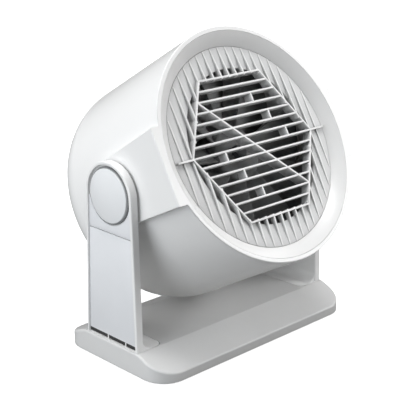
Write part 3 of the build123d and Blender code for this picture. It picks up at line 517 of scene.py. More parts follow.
@dataclass(frozen=True)
class BoardFinish:
    """Solder mask over faint tracks."""

    name: str = "solder_mask"
    colour: Colour = (0.02, 0.16, 0.07)

    def make(self) -> bpy.types.Material:
        """Build the material.

        Returns:
            The new material.
        """
        material, nodes, surface, place = start_material(self.name)
        tracks = nodes.add("ShaderNodeTexBrick")
        nodes.join(place, tracks.inputs["Vector"])
        tracks.inputs["Scale"].default_value = 260.0
        tracks.inputs["Mortar Size"].default_value = 0.08
        lighter = opaque(channel * TRACK_GAIN for channel in self.colour)
        colour = nodes.blend(tracks.outputs["Fac"], lighter, opaque(self.colour))
        nodes.join(colour, surface.inputs["Base Color"])
        nodes.join(nodes.spread(nodes.noise(place, 90.0), 0.3, 0.7, 0.25, 0.4), surface.inputs["Roughness"])
        return material


class Finish(Enum):
    """The fan's finishes."""

    # A finish's crevice amount sets how strongly painted shade darkens its narrow places.
    WHITE_SHELL = MouldedFinish(
        "white_shell", (0.86, 0.86, 0.855), 0.34,
        scatter=0.05, bump=0.06, coat=0.15, crevice=0.55,
    )
    # Darker copy of the shell's white for the base: painted shade of the base lying under the head.
    WHITE_BASE = MouldedFinish(
        "white_base", (0.79, 0.79, 0.786), 0.36,
        scatter=0.05, bump=0.07, coat=0.1, crevice=0.6,
    )
    WHITE_BEZEL = MouldedFinish("white_bezel", (0.88, 0.88, 0.875), 0.30, scatter=0.05, bump=0.05, coat=0.2)
    WHITE_GRILLE = MouldedFinish(
        "white_grille", (0.94, 0.94, 0.935), 0.34,
        bump=0.05, crevice=1.0, crevice_reach=0.009,
    )
    # Darker grey copy of the grille's white for the floor between the ribs: painted shade of the recessed floor.
    GRILLE_FLOOR = MouldedFinish(
        "grille_floor", (0.78, 0.782, 0.785), 0.5,
        bump=0.1, crevice=0.75, crevice_reach=0.006,
    )
    COOL_COVER = MouldedFinish(
        "cool_cover", (0.86, 0.875, 0.9), 0.46,
        grain=1900.0, bump=0.12, wear=0.15, crevice=0.5,
    )
    # Lighter, slightly cool copy of the white plastic for the tilt knobs: painted light on the knobs.
    WHITE_KNOB = MouldedFinish("white_knob", (0.93, 0.945, 0.96), 0.28, coat=0.3, bump=0.04)
    GREY_PLASTIC = MouldedFinish("grey_plastic", (0.2, 0.202, 0.206), 0.5, bump=0.12, wear=0.4)
    CHARCOAL_PLASTIC = MouldedFinish(
        "charcoal_plastic", (0.15, 0.151, 0.153), 0.65,
        bump=0.12, wear=0.2, crevice=0.0, dust=0.2,
    )
    BLADE_PLASTIC = MouldedFinish(
        "blade_plastic", (0.26, 0.262, 0.265), 0.7,
        wear=0.1, crevice=0.0, dust=0.3, scatter=0.7,
    )
    BLACK_RUBBER = MouldedFinish("black_rubber", (0.02, 0.02, 0.021), 0.75, grain=900.0, bump=0.2, dust=0.05)
    BUSH_NYLON = MouldedFinish("bush_nylon", (0.66, 0.63, 0.55), 0.42, scatter=0.2, wear=0.3)
    BRIGHT_STEEL = MetalFinish("bright_steel", (0.64, 0.64, 0.65), 0.3)
    ZINC_STEEL = MetalFinish("zinc_steel", (0.5, 0.51, 0.53), 0.42, tarnish_amount=0.4)
    CORE_STEEL = MetalFinish("core_steel", (0.3, 0.3, 0.31), 0.5, streak=(40.0, 2400.0, 40.0), bump=0.2)
    COPPER_WIRE = MetalFinish("copper_wire", (0.72, 0.32, 0.15), 0.3, streak=(1500.0, 90.0, 1500.0), bump=0.5)
    SOLDER_MASK = BoardFinish()

    @property
    def material(self) -> bpy.types.Material:
        """The finish's material, built when it is first asked for."""
        return bpy.data.materials.get(self.value.name) or self.value.make()


def dress_node(name: str, finish: Finish) -> None:
    """Give a carried-over CAD node its finish.

    Args:
        name: The node's name.
        finish: The finish that it wears.
    """
    node = frame["nodes"][name]
    node.data.materials.clear()
    node.data.materials.append(finish.material)
    LOG.info("dressed %s in %s", name, finish.value.name)


# ---------------------------------------------------------------- mesh helpers
def finish_piece(
    name: str, mesh: bmesh.types.BMesh, body: str, finish: Finish,
    replaced: Iterable[str] = (), smooth_angle: float = 35.0,
) -> None:
    """Turn a bmesh into a dressed piece that rides on a body.

    Args:
        name: The piece's name.
        mesh: The finished bmesh, already in the row's frame. It is freed here.
        body: The body that the piece moves with.
        finish: The finish that it wears.
        replaced: CAD nodes that it stands for.
        smooth_angle: Edges flatter than this, in degrees, are shaded smooth.
    """
    data = bpy.data.meshes.new(name)
    for face in mesh.faces:
        face.smooth = True
    limit = radians(smooth_angle)
    for edge in mesh.edges:
        edge.smooth = edge.is_manifold and edge.calc_face_angle(0.0) < limit
    mesh.to_mesh(data)
    mesh.free()
    if "custom_normal" in data.attributes:
        data.attributes.remove(data.attributes["custom_normal"])
    piece = bpy.data.objects.new(name, data)
    bpy.context.scene.collection.objects.link(piece)
    data.materials.append(finish.material)
    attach(piece, body)
    if replaced:
        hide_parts(*replaced)
    LOG.info("built %s, %d faces, on %s", name, len(data.polygons), body)


def merged_copy(name: str, join: float = 1e-6) -> bmesh.types.BMesh:
    """Copy a CAD node's mesh with its loose triangles joined and flat areas cleaned.

    Args:
        name: The CAD node.
        join: Distance within which corners are merged.

    Returns:
        The new bmesh.
    """
    mesh = bmesh.new()
    mesh.from_mesh(frame["nodes"][name].data)
    bmesh.ops.remove_doubles(mesh, verts=mesh.verts, dist=join)
    bmesh.ops.dissolve_limit(
        mesh, angle_limit=radians(0.1), verts=mesh.verts, edges=mesh.edges, use_dissolve_boundaries=False,
    )
    return mesh


def sharp_edges(mesh: bmesh.types.BMesh, angle: float = 40.0) -> list[bmesh.types.BMEdge]:
    """Edges where two faces meet at more than an angle in degrees."""
    limit = radians(angle)
    return [edge for edge in mesh.edges if edge.is_manifold and edge.calc_face_angle(0.0) > limit]


def round_edges(mesh: bmesh.types.BMesh, width: float, segments: int = 2, angle: float = 40.0) -> None:
    """Round a mesh's sharp edges.

    Args:
        mesh: The mesh to change.
        width: How far the rounding reaches from each edge.
        segments: Faces across the rounding.
        angle: Only edges sharper than this, in degrees.
    """
    bmesh.ops.bevel(
        mesh, geom=sharp_edges(mesh, angle), offset=width, offset_type="OFFSET", segments=segments,
        profile=0.5, affect="EDGES", clamp_overlap=True, material=-1,
    )


def spun(
    outline: list[tuple[float, float]], steps: int, place: Matrix, closed: bool = True,
) -> bmesh.types.BMesh:
    """Spin a (radius, height) outline about local Z.

    Args:
        outline: The corners, in metres.
        steps: Faces round the axis.
        place: Matrix from the local place to the row's frame.
        closed: Whether the outline's last corner joins its first.

    Returns:
        The spun bmesh, with its faces outwards.
    """
    mesh = bmesh.new()
    corners = [mesh.verts.new((radius, 0.0, height)) for radius, height in outline]
    pairs = list(zip(corners, corners[1:]))
    if closed:
        pairs.append((corners[-1], corners[0]))
    edges = [mesh.edges.new(pair) for pair in pairs]
    bmesh.ops.spin(
        mesh, geom=corners + edges, cent=(0, 0, 0), axis=(0, 0, 1), dvec=(0, 0, 0),
        angle=2 * pi, steps=steps, use_merge=True,
    )
    bmesh.ops.remove_doubles(mesh, verts=mesh.verts, dist=1e-7)
    bmesh.ops.recalc_face_normals(mesh, faces=mesh.faces)
    bmesh.ops.transform(mesh, matrix=place, verts=mesh.verts)
    return mesh


def add_box(mesh: bmesh.types.BMesh, low: Point, high: Point, place: Matrix = Matrix()) -> None:
    """Add a box between two corners.

    Args:
        mesh: The mesh to add to.
        low: The lowest corner.
        high: The highest corner.
        place: A further move of the box.
    """
    size = [end - start for start, end in zip(low, high)]
    middle = [(start + end) / 2 for start, end in zip(low, high)]
    matrix = place @ Matrix.Translation(middle) @ Matrix.Diagonal((*size, 1.0))
    bmesh.ops.create_cube(mesh, size=1.0, matrix=matrix)


def add_mesh(mesh: bmesh.types.BMesh, other: bmesh.types.BMesh) -> None:
    """Add all of another mesh, and free it.

    Args:
        mesh: The mesh to add to.
        other: The mesh to add. It is freed here.
    """
    data = bpy.data.meshes.new("part")
    other.to_mesh(data)
    other.free()
    mesh.from_mesh(data)
    bpy.data.meshes.remove(data)


# ---------------------------------------------------------------- carried-over nodes
@dataclass
class HiddenWorks:
    """Pieces inside the fan that keep their CAD shape."""

    finishes: dict[str, Finish] = field(default_factory=lambda: {
        "white_shell": Finish.WHITE_SHELL,
        "cool_white_cover": Finish.COOL_COVER,
        "grille_white": Finish.WHITE_GRILLE,
        "grey_plastic": Finish.GREY_PLASTIC,
        "charcoal_plastic": Finish.CHARCOAL_PLASTIC,
        "black_rubber": Finish.BLACK_RUBBER,
        "bright_steel": Finish.BRIGHT_STEEL,
        "zinc_steel": Finish.ZINC_STEEL,
        "core_steel": Finish.CORE_STEEL,
        "copper_wire": Finish.COPPER_WIRE,
        "bush_nylon": Finish.BUSH_NYLON,
        "board_green": Finish.SOLDER_MASK,
    })

    special: dict[str, Finish] = field(default_factory=lambda: {
        "impeller_nut": Finish.CHARCOAL_PLASTIC,
        # The base wears the darker copy of the shell's white, as painted shade.
        "base_shell": Finish.WHITE_BASE,
    })

    def dress(self) -> None:
        """Dress every CAD node by its slot; pieces made later replace some of them."""
        for entry in frame["record"]["subparts"]:
            finish = self.finishes[entry["material_slot"]]
            dress_node(entry["node"], self.special.get(entry["node"], finish))


@dataclass
class SoftenedShells:
    """Visible mouldings that take the CAD shape and get rounded edges."""

    edge: float = 0.35 * MM
    fine_edge: float = 0.2 * MM

    def build(self) -> None:
        """Make each softened copy."""
        members = frame["record"]["behaviour"]["bodies"]
        bodies = {node: body for body, nodes in members.items() for node in nodes}
        plan = []
        for side in Side:
            plan.append((f"leg_frame_{side.word}", Finish.WHITE_SHELL, self.edge))
            plan.append((f"leg_cover_upper_{side.word}", Finish.COOL_COVER, self.fine_edge))
            plan.append((f"leg_cover_lower_{side.word}", Finish.COOL_COVER, self.fine_edge))
        for node, finish, width in plan:
            mesh = merged_copy(node)
            round_edges(mesh, width)
            finish_piece(f"{node}_piece", mesh, bodies[node], finish, [node])


# ---------------------------------------------------------------- front of the head
HEXAGON_FLAT = cos(radians(30.0))


@dataclass
class FrontBezel:
    """Ring that closes the drum and dishes down to the grille. Built towards local +Z."""

    outer: float = 96.3 * MM
    skirt: float = 16.0 * MM
    wall: float = 2.0 * MM
    lip: float = 85.5 * MM
    drop: float = 8.0 * MM
    ledge: float = 10.0 * MM
    shelf: float = 3.4 * MM
    shelf_rise: float = 0.8 * MM
    face_walls: float = 1.8
    edge: float = 0.45 * MM
    steps: int = 192

    def outline(self) -> list[tuple[float, float]]:
        """Section of the ring.

        Returns:
            Its corners, as (radius, height).
        """
        inner = self.lip - self.shelf
        return [
            (self.outer, 0.0), (self.outer, -self.skirt), (self.outer - self.wall, -self.skirt),
            (self.outer - self.wall, -self.face_walls * self.wall),
            (self.lip + self.wall, -self.ledge + self.shelf_rise),
            (self.lip + self.wall, -self.ledge - self.wall), (inner, -self.ledge - self.wall),
            (inner, -self.ledge), (self.lip, -self.ledge), (self.lip, -self.drop),
        ]

    def build(self) -> None:
        """Spin the section and round its edges."""
        mesh = spun(self.outline(), self.steps, HEAD_PLACE)
        round_edges(mesh, self.edge, segments=3, angle=25.0)
        finish_piece("front_bezel_ring", mesh, "head", Finish.WHITE_BEZEL, ["front_bezel"])


@dataclass
class FrontGrille:
    """Hexagonal window of slats inside a ring of upright ribs. Built towards local +Z."""

    rim: float = 85.3 * MM
    hole: float = 66.4 * MM
    window: float = 68.6 * MM
    bar: float = 1.6 * MM
    face: float = -5.2 * MM
    slat_depth: float = 9.0 * MM
    strut_depth: float = 12.0 * MM
    strut_angle: float = -44.2
    floor_face: float = -8.0 * MM
    floor_depth: float = 2.0 * MM
    rim_face: float = -7.7 * MM
    middle_bar: float = 84.3 * MM
    strut_rows: int = 5
    rows: int = 7
    columns: int = 8
    rib_cuts: int = 7
    corner_lap: float = 0.55
    cross_bars: int = 3
    cross_drop: int = 2
    upper_row: float = 4.5
    lower_row: float = -0.5
    cross_step: float = 12.4 * MM
    upper_start: float = 15.9 * MM
    lower_start: float = -34.1 * MM
    edge: float = 0.28 * MM
    set_back: float = 0.06 * MM
    steps: int = 144

    @property
    def flat(self) -> float:
        """Distance from the window's middle to the middle of one of its sides."""
        return self.window * HEXAGON_FLAT

    @property
    def row_pitch(self) -> float:
        """Distance between the slats."""
        return self.flat / self.rows

    def half_width(self, height: float) -> float:
        """Half the window's width at a height above its middle."""
        return self.window - abs(height) / sqrt(3.0)

    def rib_face(self, radius: float) -> float:
        """Height of a rib's front edge, which slopes down to the rim.

        Args:
            radius: Distance from the grille's middle.

        Returns:
            The height.
        """
        share = min(1.0, max(0.0, (radius - self.flat) / (self.rim - self.flat)))
        return self.face + share * (self.rim_face - self.face)

    def add_slats(self, mesh: bmesh.types.BMesh) -> None:
        """Add the level slats and the short bars between them.

        Args:
            mesh: The mesh to add to.
        """
        pitch = self.row_pitch
        face = self.face - 2 * self.set_back
        for row in range(1 - self.rows, self.rows):
            reach = self.half_width(row * pitch)
            low = (-reach, row * pitch - self.bar / 2, self.face - self.slat_depth)
            add_box(mesh, low, (reach, row * pitch + self.bar / 2, face))
        for step in range(self.cross_bars):
            for start, row in ((self.upper_start, self.upper_row), (self.lower_start, self.lower_row)):
                x, y = start + step * self.cross_step, (row - self.cross_drop * step) * pitch
                low = (x - self.bar / 2, y - pitch / 2, self.face - self.slat_depth + self.set_back)
                add_box(mesh, low, (x + self.bar / 2, y + pitch / 2, face - self.set_back))

    def add_frame(self, mesh: bmesh.types.BMesh) -> None:
        """Add the six sides of the window's frame.

        Args:
            mesh: The mesh to add to.
        """
        half = self.bar / 2
        reach = self.window / 2 + half * self.corner_lap
        for side in range(6):
            place = Matrix.Rotation(radians(60.0 * side), 4, "Z")
            face = self.face - (side % 2) * self.set_back / 2
            low = (-reach, self.flat - half, self.face - self.slat_depth)
            add_box(mesh, low, (reach, self.flat + half, face), place)

    def add_strut(self, mesh: bmesh.types.BMesh) -> None:
        """Add the deep strut that crosses the slats.

        Args:
            mesh: The mesh to add to.
        """
        reach = (self.strut_rows * self.row_pitch + self.bar / 2) / sin(radians(-self.strut_angle))
        place = Matrix.Rotation(radians(self.strut_angle), 4, "Z")
        low = (-reach, -self.bar / 2, self.face - self.strut_depth)
        add_box(mesh, low, (reach, self.bar / 2, self.face - self.set_back), place)

    def add_rib(self, mesh: bmesh.types.BMesh, x: float, start: float, end: float) -> None:
        """Add one upright rib whose front edge slopes down to the rim.

        Args:
            mesh: The mesh to add to.
            x: The rib's place across the grille.
            start: Its lower end.
            end: Its upper end.
        """
        low = self.floor_face - self.floor_depth
        rib = bmesh.new()
        add_box(rib, (x - self.bar / 2, start, low), (x + self.bar / 2, end, self.face))
        along = [edge for edge in rib.edges if abs(edge.verts[0].co.y - edge.verts[1].co.y) > self.bar]
        bmesh.ops.subdivide_edges(rib, edges=along, cuts=self.rib_cuts, use_grid_fill=True)
        for corner in rib.verts:
            if corner.co.z > low + MM / 10:
                corner.co.z = self.rib_face(hypot(corner.co.x, corner.co.y))
        add_mesh(mesh, rib)

    def add_ribs(self, mesh: bmesh.types.BMesh) -> None:
        """Add the upright ribs above, below and beside the window.

        Args:
            mesh: The mesh to add to.
        """
        pitch = self.window / self.columns
        inner = self.window - self.bar
        for column in range(-self.columns - 1, self.columns + 2):
            x = column * pitch
            end = sqrt(self.rim ** 2 - (abs(x) + self.bar / 2) ** 2)
            start = min(inner * HEXAGON_FLAT, (inner - abs(x)) * sqrt(3.0))
            if abs(x) > self.window + self.bar:
                self.add_rib(mesh, x, -end, end)
                continue
            start = max(start, self.bar / 4)
            self.add_rib(mesh, x, start, end)
            self.add_rib(mesh, x, -end, -start)
        for side in (-1, 1):
            ends = sorted((side * (self.window - self.bar / 2), side * self.middle_bar))
            low = (ends[0], -self.bar / 2, self.floor_face - self.floor_depth)
            add_box(mesh, low, (ends[1], self.bar / 2, self.face + self.set_back))

    def build(self) -> None:
        """Build the bars, then the ring that they stand on."""
        bars = bmesh.new()
        self.add_slats(bars)
        self.add_frame(bars)
        self.add_strut(bars)
        self.add_ribs(bars)
        round_edges(bars, self.edge, segments=2)
        bmesh.ops.transform(bars, matrix=HEAD_PLACE, verts=bars.verts)
        finish_piece("front_grille_bars", bars, "head", Finish.WHITE_GRILLE, ["front_grille"])
        low = self.floor_face - self.floor_depth
        section = [
            (self.hole, low), (self.rim, low), (self.rim, self.floor_face), (self.hole, self.floor_face),
        ]
        ring = spun(section, self.steps, HEAD_PLACE)
        round_edges(ring, self.edge)
        # The floor wears the darker copy of the grille's white, as painted shade.
        finish_piece("front_grille_floor", ring, "head", Finish.GRILLE_FLOOR)


# ---------------------------------------------------------------- back of the head
@dataclass
class RearGrille:
    """Round intake grille with rings, spokes and the hub that carries the speed dial."""

    back: float = -157.0 * MM
    depth: float = 2.6 * MM
    rim: float = 62.8 * MM
    opening: float = 55.0 * MM
    hub: float = 20.0 * MM
    ring_pitch: float = 6.6 * MM
    ring_width: float = 1.8 * MM
    rings: int = 5
    spokes: int = 12
    screw_circle: float = 59.6 * MM
    edge: float = 0.4 * MM
    cup: float = 13.0 * MM
    cup_wall: float = 1.9 * MM
    cup_depth: float = 5.6 * MM
    bore: float = 4.0 * MM
    spoke_inset: float = 0.3 * MM
    spoke_drop: float = 0.1 * MM
    ticks: int = 4
    tick_start: float = 16.4 * MM
    tick_end: float = 18.8 * MM
    tick_half: float = 0.35 * MM
    tick_height: float = 0.25 * MM
    tick_sink: float = 0.2 * MM
    tick_edge: float = 0.1 * MM
    steps: int = 96

    def build(self) -> None:
        """Build the grille, its marks and its screws."""
        grille = bmesh.new()
        front = self.back + self.depth
        bands = [(self.opening, self.rim), (self.bore, self.hub)]
        for step in range(1, self.rings + 1):
            middle = self.hub + step * self.ring_pitch
            bands.append((middle - self.ring_width / 2, middle + self.ring_width / 2))
        for inner, outer in bands:
            section = [(inner, self.back), (outer, self.back), (outer, front), (inner, front)]
            add_mesh(grille, spun(section, self.steps, Matrix()))
        for spoke in range(self.spokes):
            place = Matrix.Rotation(2 * pi * spoke / self.spokes, 4, "Z")
            low = (self.hub - MM, -self.ring_width / 2, self.back + self.spoke_inset)
            high = (self.opening + MM, self.ring_width / 2, front - self.spoke_drop)
            add_box(grille, low, high, place)
        for side in range(4):
            place = Matrix.Rotation(side * pi / 2, 4, "Z")
            low = (self.cup, -self.cup - self.cup_wall / 2, front - MM / 2)
            high = (self.cup + self.cup_wall / 2, self.cup + self.cup_wall / 2, front + self.cup_depth)
            add_box(grille, low, high, place)
        round_edges(grille, self.edge)
        bmesh.ops.transform(grille, matrix=HEAD_PLACE, verts=grille.verts)
        finish_piece(
            "rear_grille_piece", grille, "head", Finish.WHITE_GRILLE, ["rear_grille"],
        )
        self.build_marks()
        self.build_screws()

    def build_marks(self) -> None:
        """Raise one short mark on the hub for each place of the speed dial."""
        marks = bmesh.new()
        for tick in range(self.ticks):
            place = Matrix.Rotation(tick * pi / 2, 4, "Z")
            low = (self.tick_start, -self.tick_half, self.back - self.tick_height)
            add_box(marks, low, (self.tick_end, self.tick_half, self.back + self.tick_sink), place)
        round_edges(marks, self.tick_edge)
        bmesh.ops.transform(marks, matrix=HEAD_PLACE, verts=marks.verts)
        finish_piece("speed_marks", marks, "head", Finish.GREY_PLASTIC)

    def build_screws(self) -> None:
        """Put a screw in each of the grille's four holes."""
        screws = bmesh.new()
        for screw in range(4):
            turn = Matrix.Rotation(pi / 4 + screw * pi / 2, 4, "Z")
            seat = Matrix.Translation((self.screw_circle, 0.0, self.back))
            spot = turn @ seat @ Matrix.Rotation(pi, 4, "X")
            add_mesh(screws, PanScrew().shape(HEAD_PLACE @ spot))
        finish_piece(
            "rear_grille_pan_screws", screws, "head", Finish.ZINC_STEEL,
            ["rear_grille_screws"],
        )


@dataclass
class PanScrew:
    """Pan-head screw with a cross recess. Its head points along local +Z."""

    head_radius: float = 2.6 * MM
    head_height: float = 1.1 * MM
    head_side: float = 0.35
    head_dome: float = 0.65
    length: float = 5.8 * MM
    shank_radius: float = 1.45 * MM
    recess_radius: float = 1.3 * MM
    recess_depth: float = 0.7 * MM
    lobe_middle: float = 0.66
    lobe_swing: float = 0.34
    steps: int = 32

    def shape(self, place: Matrix) -> bmesh.types.BMesh:
        """Spin the screw, then press the recess into a cross.

        Args:
            place: Matrix from the screw's place to the row's frame, with its seat at the origin.

        Returns:
            The screw's bmesh.
        """
        top = self.head_height
        outline = [(0.0, top - self.recess_depth), (self.recess_radius * 0.8, top - self.recess_depth * 0.9)]
        outline.append((self.recess_radius, top))
        for step in range(1, 6):
            turn = step / 5 * pi / 2
            reach = self.recess_radius + (self.head_radius - self.recess_radius) * sin(turn)
            outline.append((reach, top * (self.head_side + self.head_dome * cos(turn))))
        outline += [(self.head_radius, 0.0), (self.shank_radius, 0.0)]
        outline += [(self.shank_radius, -self.length), (0.0, -self.length)]
        mesh = spun(outline, self.steps, Matrix(), closed=False)
        for vertex in mesh.verts:
            radius = hypot(vertex.co.x, vertex.co.y)
            if 0.0 < radius < self.recess_radius * 1.01 and vertex.co.z > 0.0:
                lobe = self.lobe_middle + self.lobe_swing * cos(4 * atan2(vertex.co.y, vertex.co.x))
                vertex.co.x *= lobe
                vertex.co.y *= lobe
        bmesh.ops.transform(mesh, matrix=place, verts=mesh.verts)
        return mesh


@dataclass
class SpeedDial:
    """Fluted dial on the back, with a light pointer."""

    radius: float = 15.0 * MM
    top: float = -157.5 * MM
    height: float = 11.0 * MM
    flutes: int = 24
    flute_depth: float = 0.55 * MM
    flute_start: float = 2.2 * MM
    flange: float = 0.5 * MM
    edge: float = 1.2 * MM
    edge_share: float = 0.35
    dish: float = 0.5 * MM
    dish_radius: float = 8.0 * MM
    dish_side: float = 0.35 * MM
    land: float = 11.4 * MM
    pointer_half: float = 0.7 * MM
    pointer_start: float = 4.0 * MM
    pointer_end: float = 12.4 * MM
    pointer_height: float = 0.15 * MM
    pointer_sink: float = 0.6 * MM
    pointer_edge: float = 0.12 * MM

    def build(self) -> None:
        """Spin the dial, press its flutes in and lay the pointer on it."""
        tip = self.top - self.height
        low = tip + self.flute_start
        chamfer = self.edge_share * self.edge
        outline = [(0.0, tip + self.dish), (self.dish_radius, tip + self.dish_side), (self.land, tip)]
        outline += [(self.radius - self.edge, tip), (self.radius - chamfer, tip + chamfer)]
        outline += [(self.radius, tip + self.edge), (self.radius, low), (self.radius, low + MM / 2)]
        outline += [(self.radius, self.top - MM), (self.radius + self.flange, self.top), (0.0, self.top)]
        dial = spun(outline, 6 * self.flutes, Matrix(), closed=False)
        for vertex in dial.verts:
            radius = hypot(vertex.co.x, vertex.co.y)
            if abs(radius - self.radius) < MM / 100 and low < vertex.co.z < self.top - MM / 2:
                angle = atan2(vertex.co.y, vertex.co.x)
                wanted = radius - self.flute_depth * (0.5 + 0.5 * cos(self.flutes * angle))
                vertex.co.x *= wanted / radius
                vertex.co.y *= wanted / radius
        bmesh.ops.transform(dial, matrix=HEAD_PLACE, verts=dial.verts)
        finish_piece(
            "speed_dial", dial, "speed_control", Finish.GREY_PLASTIC,
            ["speed_knob", "speed_shaft"],
        )
        pointer = bmesh.new()
        start = (-self.pointer_half, self.pointer_start, tip - self.pointer_height)
        add_box(pointer, start, (self.pointer_half, self.pointer_end, tip + self.pointer_sink))
        round_edges(pointer, self.pointer_edge)
        bmesh.ops.transform(pointer, matrix=HEAD_PLACE, verts=pointer.verts)
        finish_piece("speed_pointer", pointer, "speed_control", Finish.WHITE_GRILLE)


# ---------------------------------------------------------------- impeller
@dataclass
class Impeller:
    """Wide-bladed axial impeller with a domed hub."""

    tip: float = 84.0 * MM
    hub: float = 24.0 * MM
    hub_length: float = 30.0 * MM
    front: float = -28.0 * MM
    wall: float = 2.2 * MM
    blades: int = 9
    thickness: float = 1.8 * MM
    root_chord: float = 34.0 * MM
    tip_chord: float = 66.0 * MM
    root_pitch: float = 46.0
    tip_pitch: float = 25.0
    camber: float = 0.07
    corner: float = 0.22
    corner_start: float = 0.8
    corner_span: float = 0.2
    tip_gap: float = 0.5 * MM
    edge_share: float = 0.3
    nose: float = 4.0 * MM
    bore: float = 3.1 * MM
    boss: float = 7.0 * MM
    boss_inset: float = 6.0 * MM
    web: float = 5.0 * MM
    steps: int = 72

    def blade_point(self, across: float, along: float) -> Point:
        """Place of a point of the blade's surface.

        Args:
            across: From the root at 0 to the tip at 1.
            along: From one edge at -0.5 to the other at 0.5.

        Returns:
            Its place in the head's local frame.
        """
        root = self.hub - self.wall / 2
        radius = root + (self.tip - self.tip_gap - root) * across
        rounding = max(0.0, (across - self.corner_start) / self.corner_span) ** 3 * self.corner
        chord = (self.root_chord + (self.tip_chord - self.root_chord) * across) * (1.0 - rounding)
        pitch = radians(self.root_pitch + (self.tip_pitch - self.root_pitch) * across)
        bow = self.camber * chord * (1.0 - 4.0 * along * along)
        turn = (along * chord * cos(pitch) - bow * sin(pitch)) / radius
        rise = along * chord * sin(pitch) + bow * cos(pitch)
        middle = self.front - self.hub_length / 2
        return radius * cos(turn), radius * sin(turn), middle + rise

    def add_blades(self, mesh: bmesh.types.BMesh) -> None:
        """Bend a grid into one blade, thicken it and repeat it round the hub.

        Args:
            mesh: An empty mesh to build in.
        """
        made = bmesh.ops.create_grid(mesh, x_segments=18, y_segments=16, size=0.5)
        for vertex in made["verts"]:
            vertex.co = self.blade_point(vertex.co.x + 0.5, vertex.co.y)
        bmesh.ops.recalc_face_normals(mesh, faces=mesh.faces)
        bmesh.ops.solidify(mesh, geom=mesh.faces[:], thickness=self.thickness)
        round_edges(mesh, self.thickness * self.edge_share, segments=2, angle=50.0)
        step = 2 * pi / self.blades
        bmesh.ops.spin(
            mesh, geom=mesh.faces[:], cent=(0, 0, 0), axis=(0, 0, 1), dvec=(0, 0, 0),
            angle=step * (self.blades - 1), steps=self.blades - 1, use_duplicate=True,
        )

    def hub_outline(self) -> list[tuple[float, float]]:
        """Section of the cup-shaped hub, with its rounded nose.

        Returns:
            Its corners, as (radius, height).
        """
        back = self.front - self.hub_length
        radius, points = self.nose, []
        for step in range(6):
            turn = step / 5 * pi / 2
            points.append((self.hub - radius + radius * sin(turn), self.front - radius + radius * cos(turn)))
        outline = [(self.bore, self.front), *points, (self.hub, back), (self.hub - self.wall, back)]
        outline += [(self.hub - self.wall, self.front - self.web), (self.boss, self.front - 2 * self.wall)]
        return outline + [(self.boss, back + self.boss_inset), (self.bore, back + self.boss_inset)]

    def build(self) -> None:
        """Build the blades and the hub."""
        mesh = bmesh.new()
        self.add_blades(mesh)
        add_mesh(mesh, spun(self.hub_outline(), self.steps, Matrix()))
        bmesh.ops.transform(mesh, matrix=HEAD_PLACE, verts=mesh.verts)
        finish_piece("impeller_piece", mesh, "rotor", Finish.BLADE_PLASTIC, ["impeller"])


# ---------------------------------------------------------------- tilt knobs
@dataclass
class TiltKnob:
    """Domed clamp knob on one side. Built outwards along local +Z."""

    side: Side
    radius: float = 22.0 * MM
    seat: float = 109.25 * MM
    under: float = 110.95 * MM
    rim: float = 112.35 * MM
    crown: float = 2.7 * MM
    hub: float = 16.8 * MM
    edge: float = 1.1 * MM
    edge_squash: float = 0.6
    dome_steps: int = 14
    steps: int = 120

    def build(self) -> None:
        """Spin the knob's dome."""
        outline = [(0.0, self.seat), (self.hub, self.seat), (self.hub, self.under), (self.radius, self.under)]
        flat = self.radius - self.edge
        sphere = (flat ** 2 + self.crown ** 2) / (2 * self.crown)
        lean = atan2(flat, sphere - self.crown)
        for step in range(6):
            turn = step / 5 * (pi / 2 - lean)
            height = self.rim - self.edge * (1 - sin(turn)) * self.edge_squash
            outline.append((flat + self.edge * cos(turn), height))
        inner, start = outline[-1]
        for step in range(1, self.dome_steps + 1):
            reach = inner * (1 - step / self.dome_steps)
            rise = sqrt(sphere ** 2 - reach ** 2) - sqrt(sphere ** 2 - inner ** 2)
            outline.append((reach, start + rise))
        mesh = spun(outline, self.steps, side_place(self.side.value), closed=False)
        word = self.side.word
        # The knob wears the lighter copy of the white plastic, as painted light.
        finish_piece(
            f"tilt_knob_dome_{word}", mesh, f"knob_{word}", Finish.WHITE_KNOB,
            [f"tilt_knob_{word}"],
        )


# ---------------------------------------------------------------- stage
WHITE = (1.0, 1.0, 1.0)


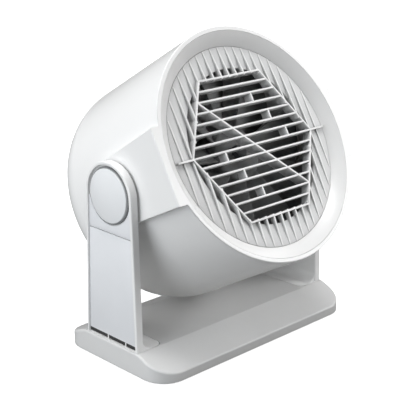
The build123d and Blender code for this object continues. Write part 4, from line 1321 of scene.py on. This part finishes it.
@dataclass
class Studio:
    """Pale floor, soft lights and the camera."""

    target: Point = (-24.2 * MM, -12.4 * MM, -20.0 * MM)
    azimuth: float = 43.98
    elevation: float = 17.98
    distance: float = 897.0 * MM
    lens: float = 97.3
    sensor: float = 36.0
    floor_size: float = 8.0
    floor_gap: float = 0.1 * MM
    floor_tone: float = 0.8
    floor_glow: float = 0.93
    bounce: float = 0.2
    ambient: float = 0.03
    light_size: float = 1.0
    cool: Colour = (0.93, 0.97, 1.0)

    def build_camera(self) -> None:
        """Place the camera, aimed at a point near the tilt axis."""
        camera = bpy.data.cameras.new("camera")
        camera.lens = self.lens
        camera.sensor_width = self.sensor
        eye = bpy.data.objects.new("camera", camera)
        bpy.context.scene.collection.objects.link(eye)
        turn, rise = radians(self.azimuth), radians(self.elevation)
        view = Vector((sin(turn) * cos(rise), cos(turn) * cos(rise), -sin(rise)))
        aim = PIVOT + Vector(self.target)
        eye.location = aim - view * self.distance
        eye.rotation_euler = view.to_track_quat("-Z", "Y").to_euler()
        bpy.context.scene.camera = eye

    def build_floor(self) -> None:
        """Lay the floor."""
        mesh = bmesh.new()
        bmesh.ops.create_grid(mesh, x_segments=1, y_segments=1, size=self.floor_size / 2)
        bmesh.ops.translate(mesh, vec=(0.0, 0.0, -self.floor_gap), verts=mesh.verts)
        data = bpy.data.meshes.new("floor")
        mesh.to_mesh(data)
        mesh.free()
        floor = bpy.data.objects.new("floor", data)
        bpy.context.scene.collection.objects.link(floor)
        material, nodes, surface, place = start_material("floor")
        surface.inputs["Base Color"].default_value = opaque((self.floor_tone,) * 3)
        surface.inputs["Emission Color"].default_value = opaque(WHITE)
        surface.inputs["Emission Strength"].default_value = self.floor_glow
        nodes.join(nodes.spread(nodes.noise(place, 40.0), 0.3, 0.7, 0.55, 0.65), surface.inputs["Roughness"])
        dull = nodes.add("ShaderNodeBsdfDiffuse")
        dull.inputs["Color"].default_value = opaque((self.bounce,) * 3)
        seen = nodes.add("ShaderNodeMixShader")
        nodes.join(nodes.add("ShaderNodeLightPath").outputs["Is Camera Ray"], seen.inputs[0])
        nodes.join(dull.outputs[0], seen.inputs[1])
        nodes.join(surface.outputs[0], seen.inputs[2])
        nodes.join(seen.outputs[0], material.node_tree.nodes["Material Output"].inputs["Surface"])
        data.materials.append(material)

    def area_light(self, name: str, place: Point, power: float, tint: Colour = WHITE) -> None:
        """Hang a soft square light that faces the fan.

        Args:
            name: The light's name.
            place: Where it hangs, relative to the tilt axis.
            power: Its power in watts.
            tint: Its colour.
        """
        light = bpy.data.lights.new(name, "AREA")
        light.energy = power
        light.size = self.light_size
        light.color = tint
        lamp = bpy.data.objects.new(name, light)
        bpy.context.scene.collection.objects.link(lamp)
        lamp.location = PIVOT + Vector(place)
        lamp.rotation_euler = (-Vector(place)).to_track_quat("-Z", "Y").to_euler()

    def build(self) -> None:
        """Build the camera, the floor and the lights."""
        self.build_camera()
        self.build_floor()
        world = bpy.data.worlds.new("studio")
        world.use_nodes = True
        sky = Nodes(world.node_tree)
        background = world.node_tree.nodes["Background"]
        background.inputs["Color"].default_value = opaque(WHITE)
        seen = sky.add("ShaderNodeLightPath").outputs["Is Camera Ray"]
        sky.join(sky.spread(seen, 0.0, 1.0, self.ambient, 1.0), background.inputs["Strength"])
        bpy.context.scene.world = world
        self.area_light("top", (0.0, 0.0, 1.8), 24.0)
        self.area_light("front_right", (1.2, -1.2, 0.5), 16.0)
        self.area_light("left_back", (-1.3, 0.5, 0.9), 10.5)
        self.area_light("right", (1.6, 0.0, 0.6), 5.2)
        self.area_light("left", (-1.6, -0.2, 0.35), 12.0, self.cool)
        bpy.context.scene.view_settings.view_transform = "Standard"


def main() -> None:
    """Build the fan, then the studio."""
    logging.basicConfig(level=logging.INFO, format="%(message)s")
    HiddenWorks().dress()
    SoftenedShells().build()
    FrontBezel().build()
    FrontGrille().build()
    RearGrille().build()
    SpeedDial().build()
    Impeller().build()
    for side in Side:
        TiltKnob(side).build()
    Studio().build()


if __name__ == "__main__":
    main()
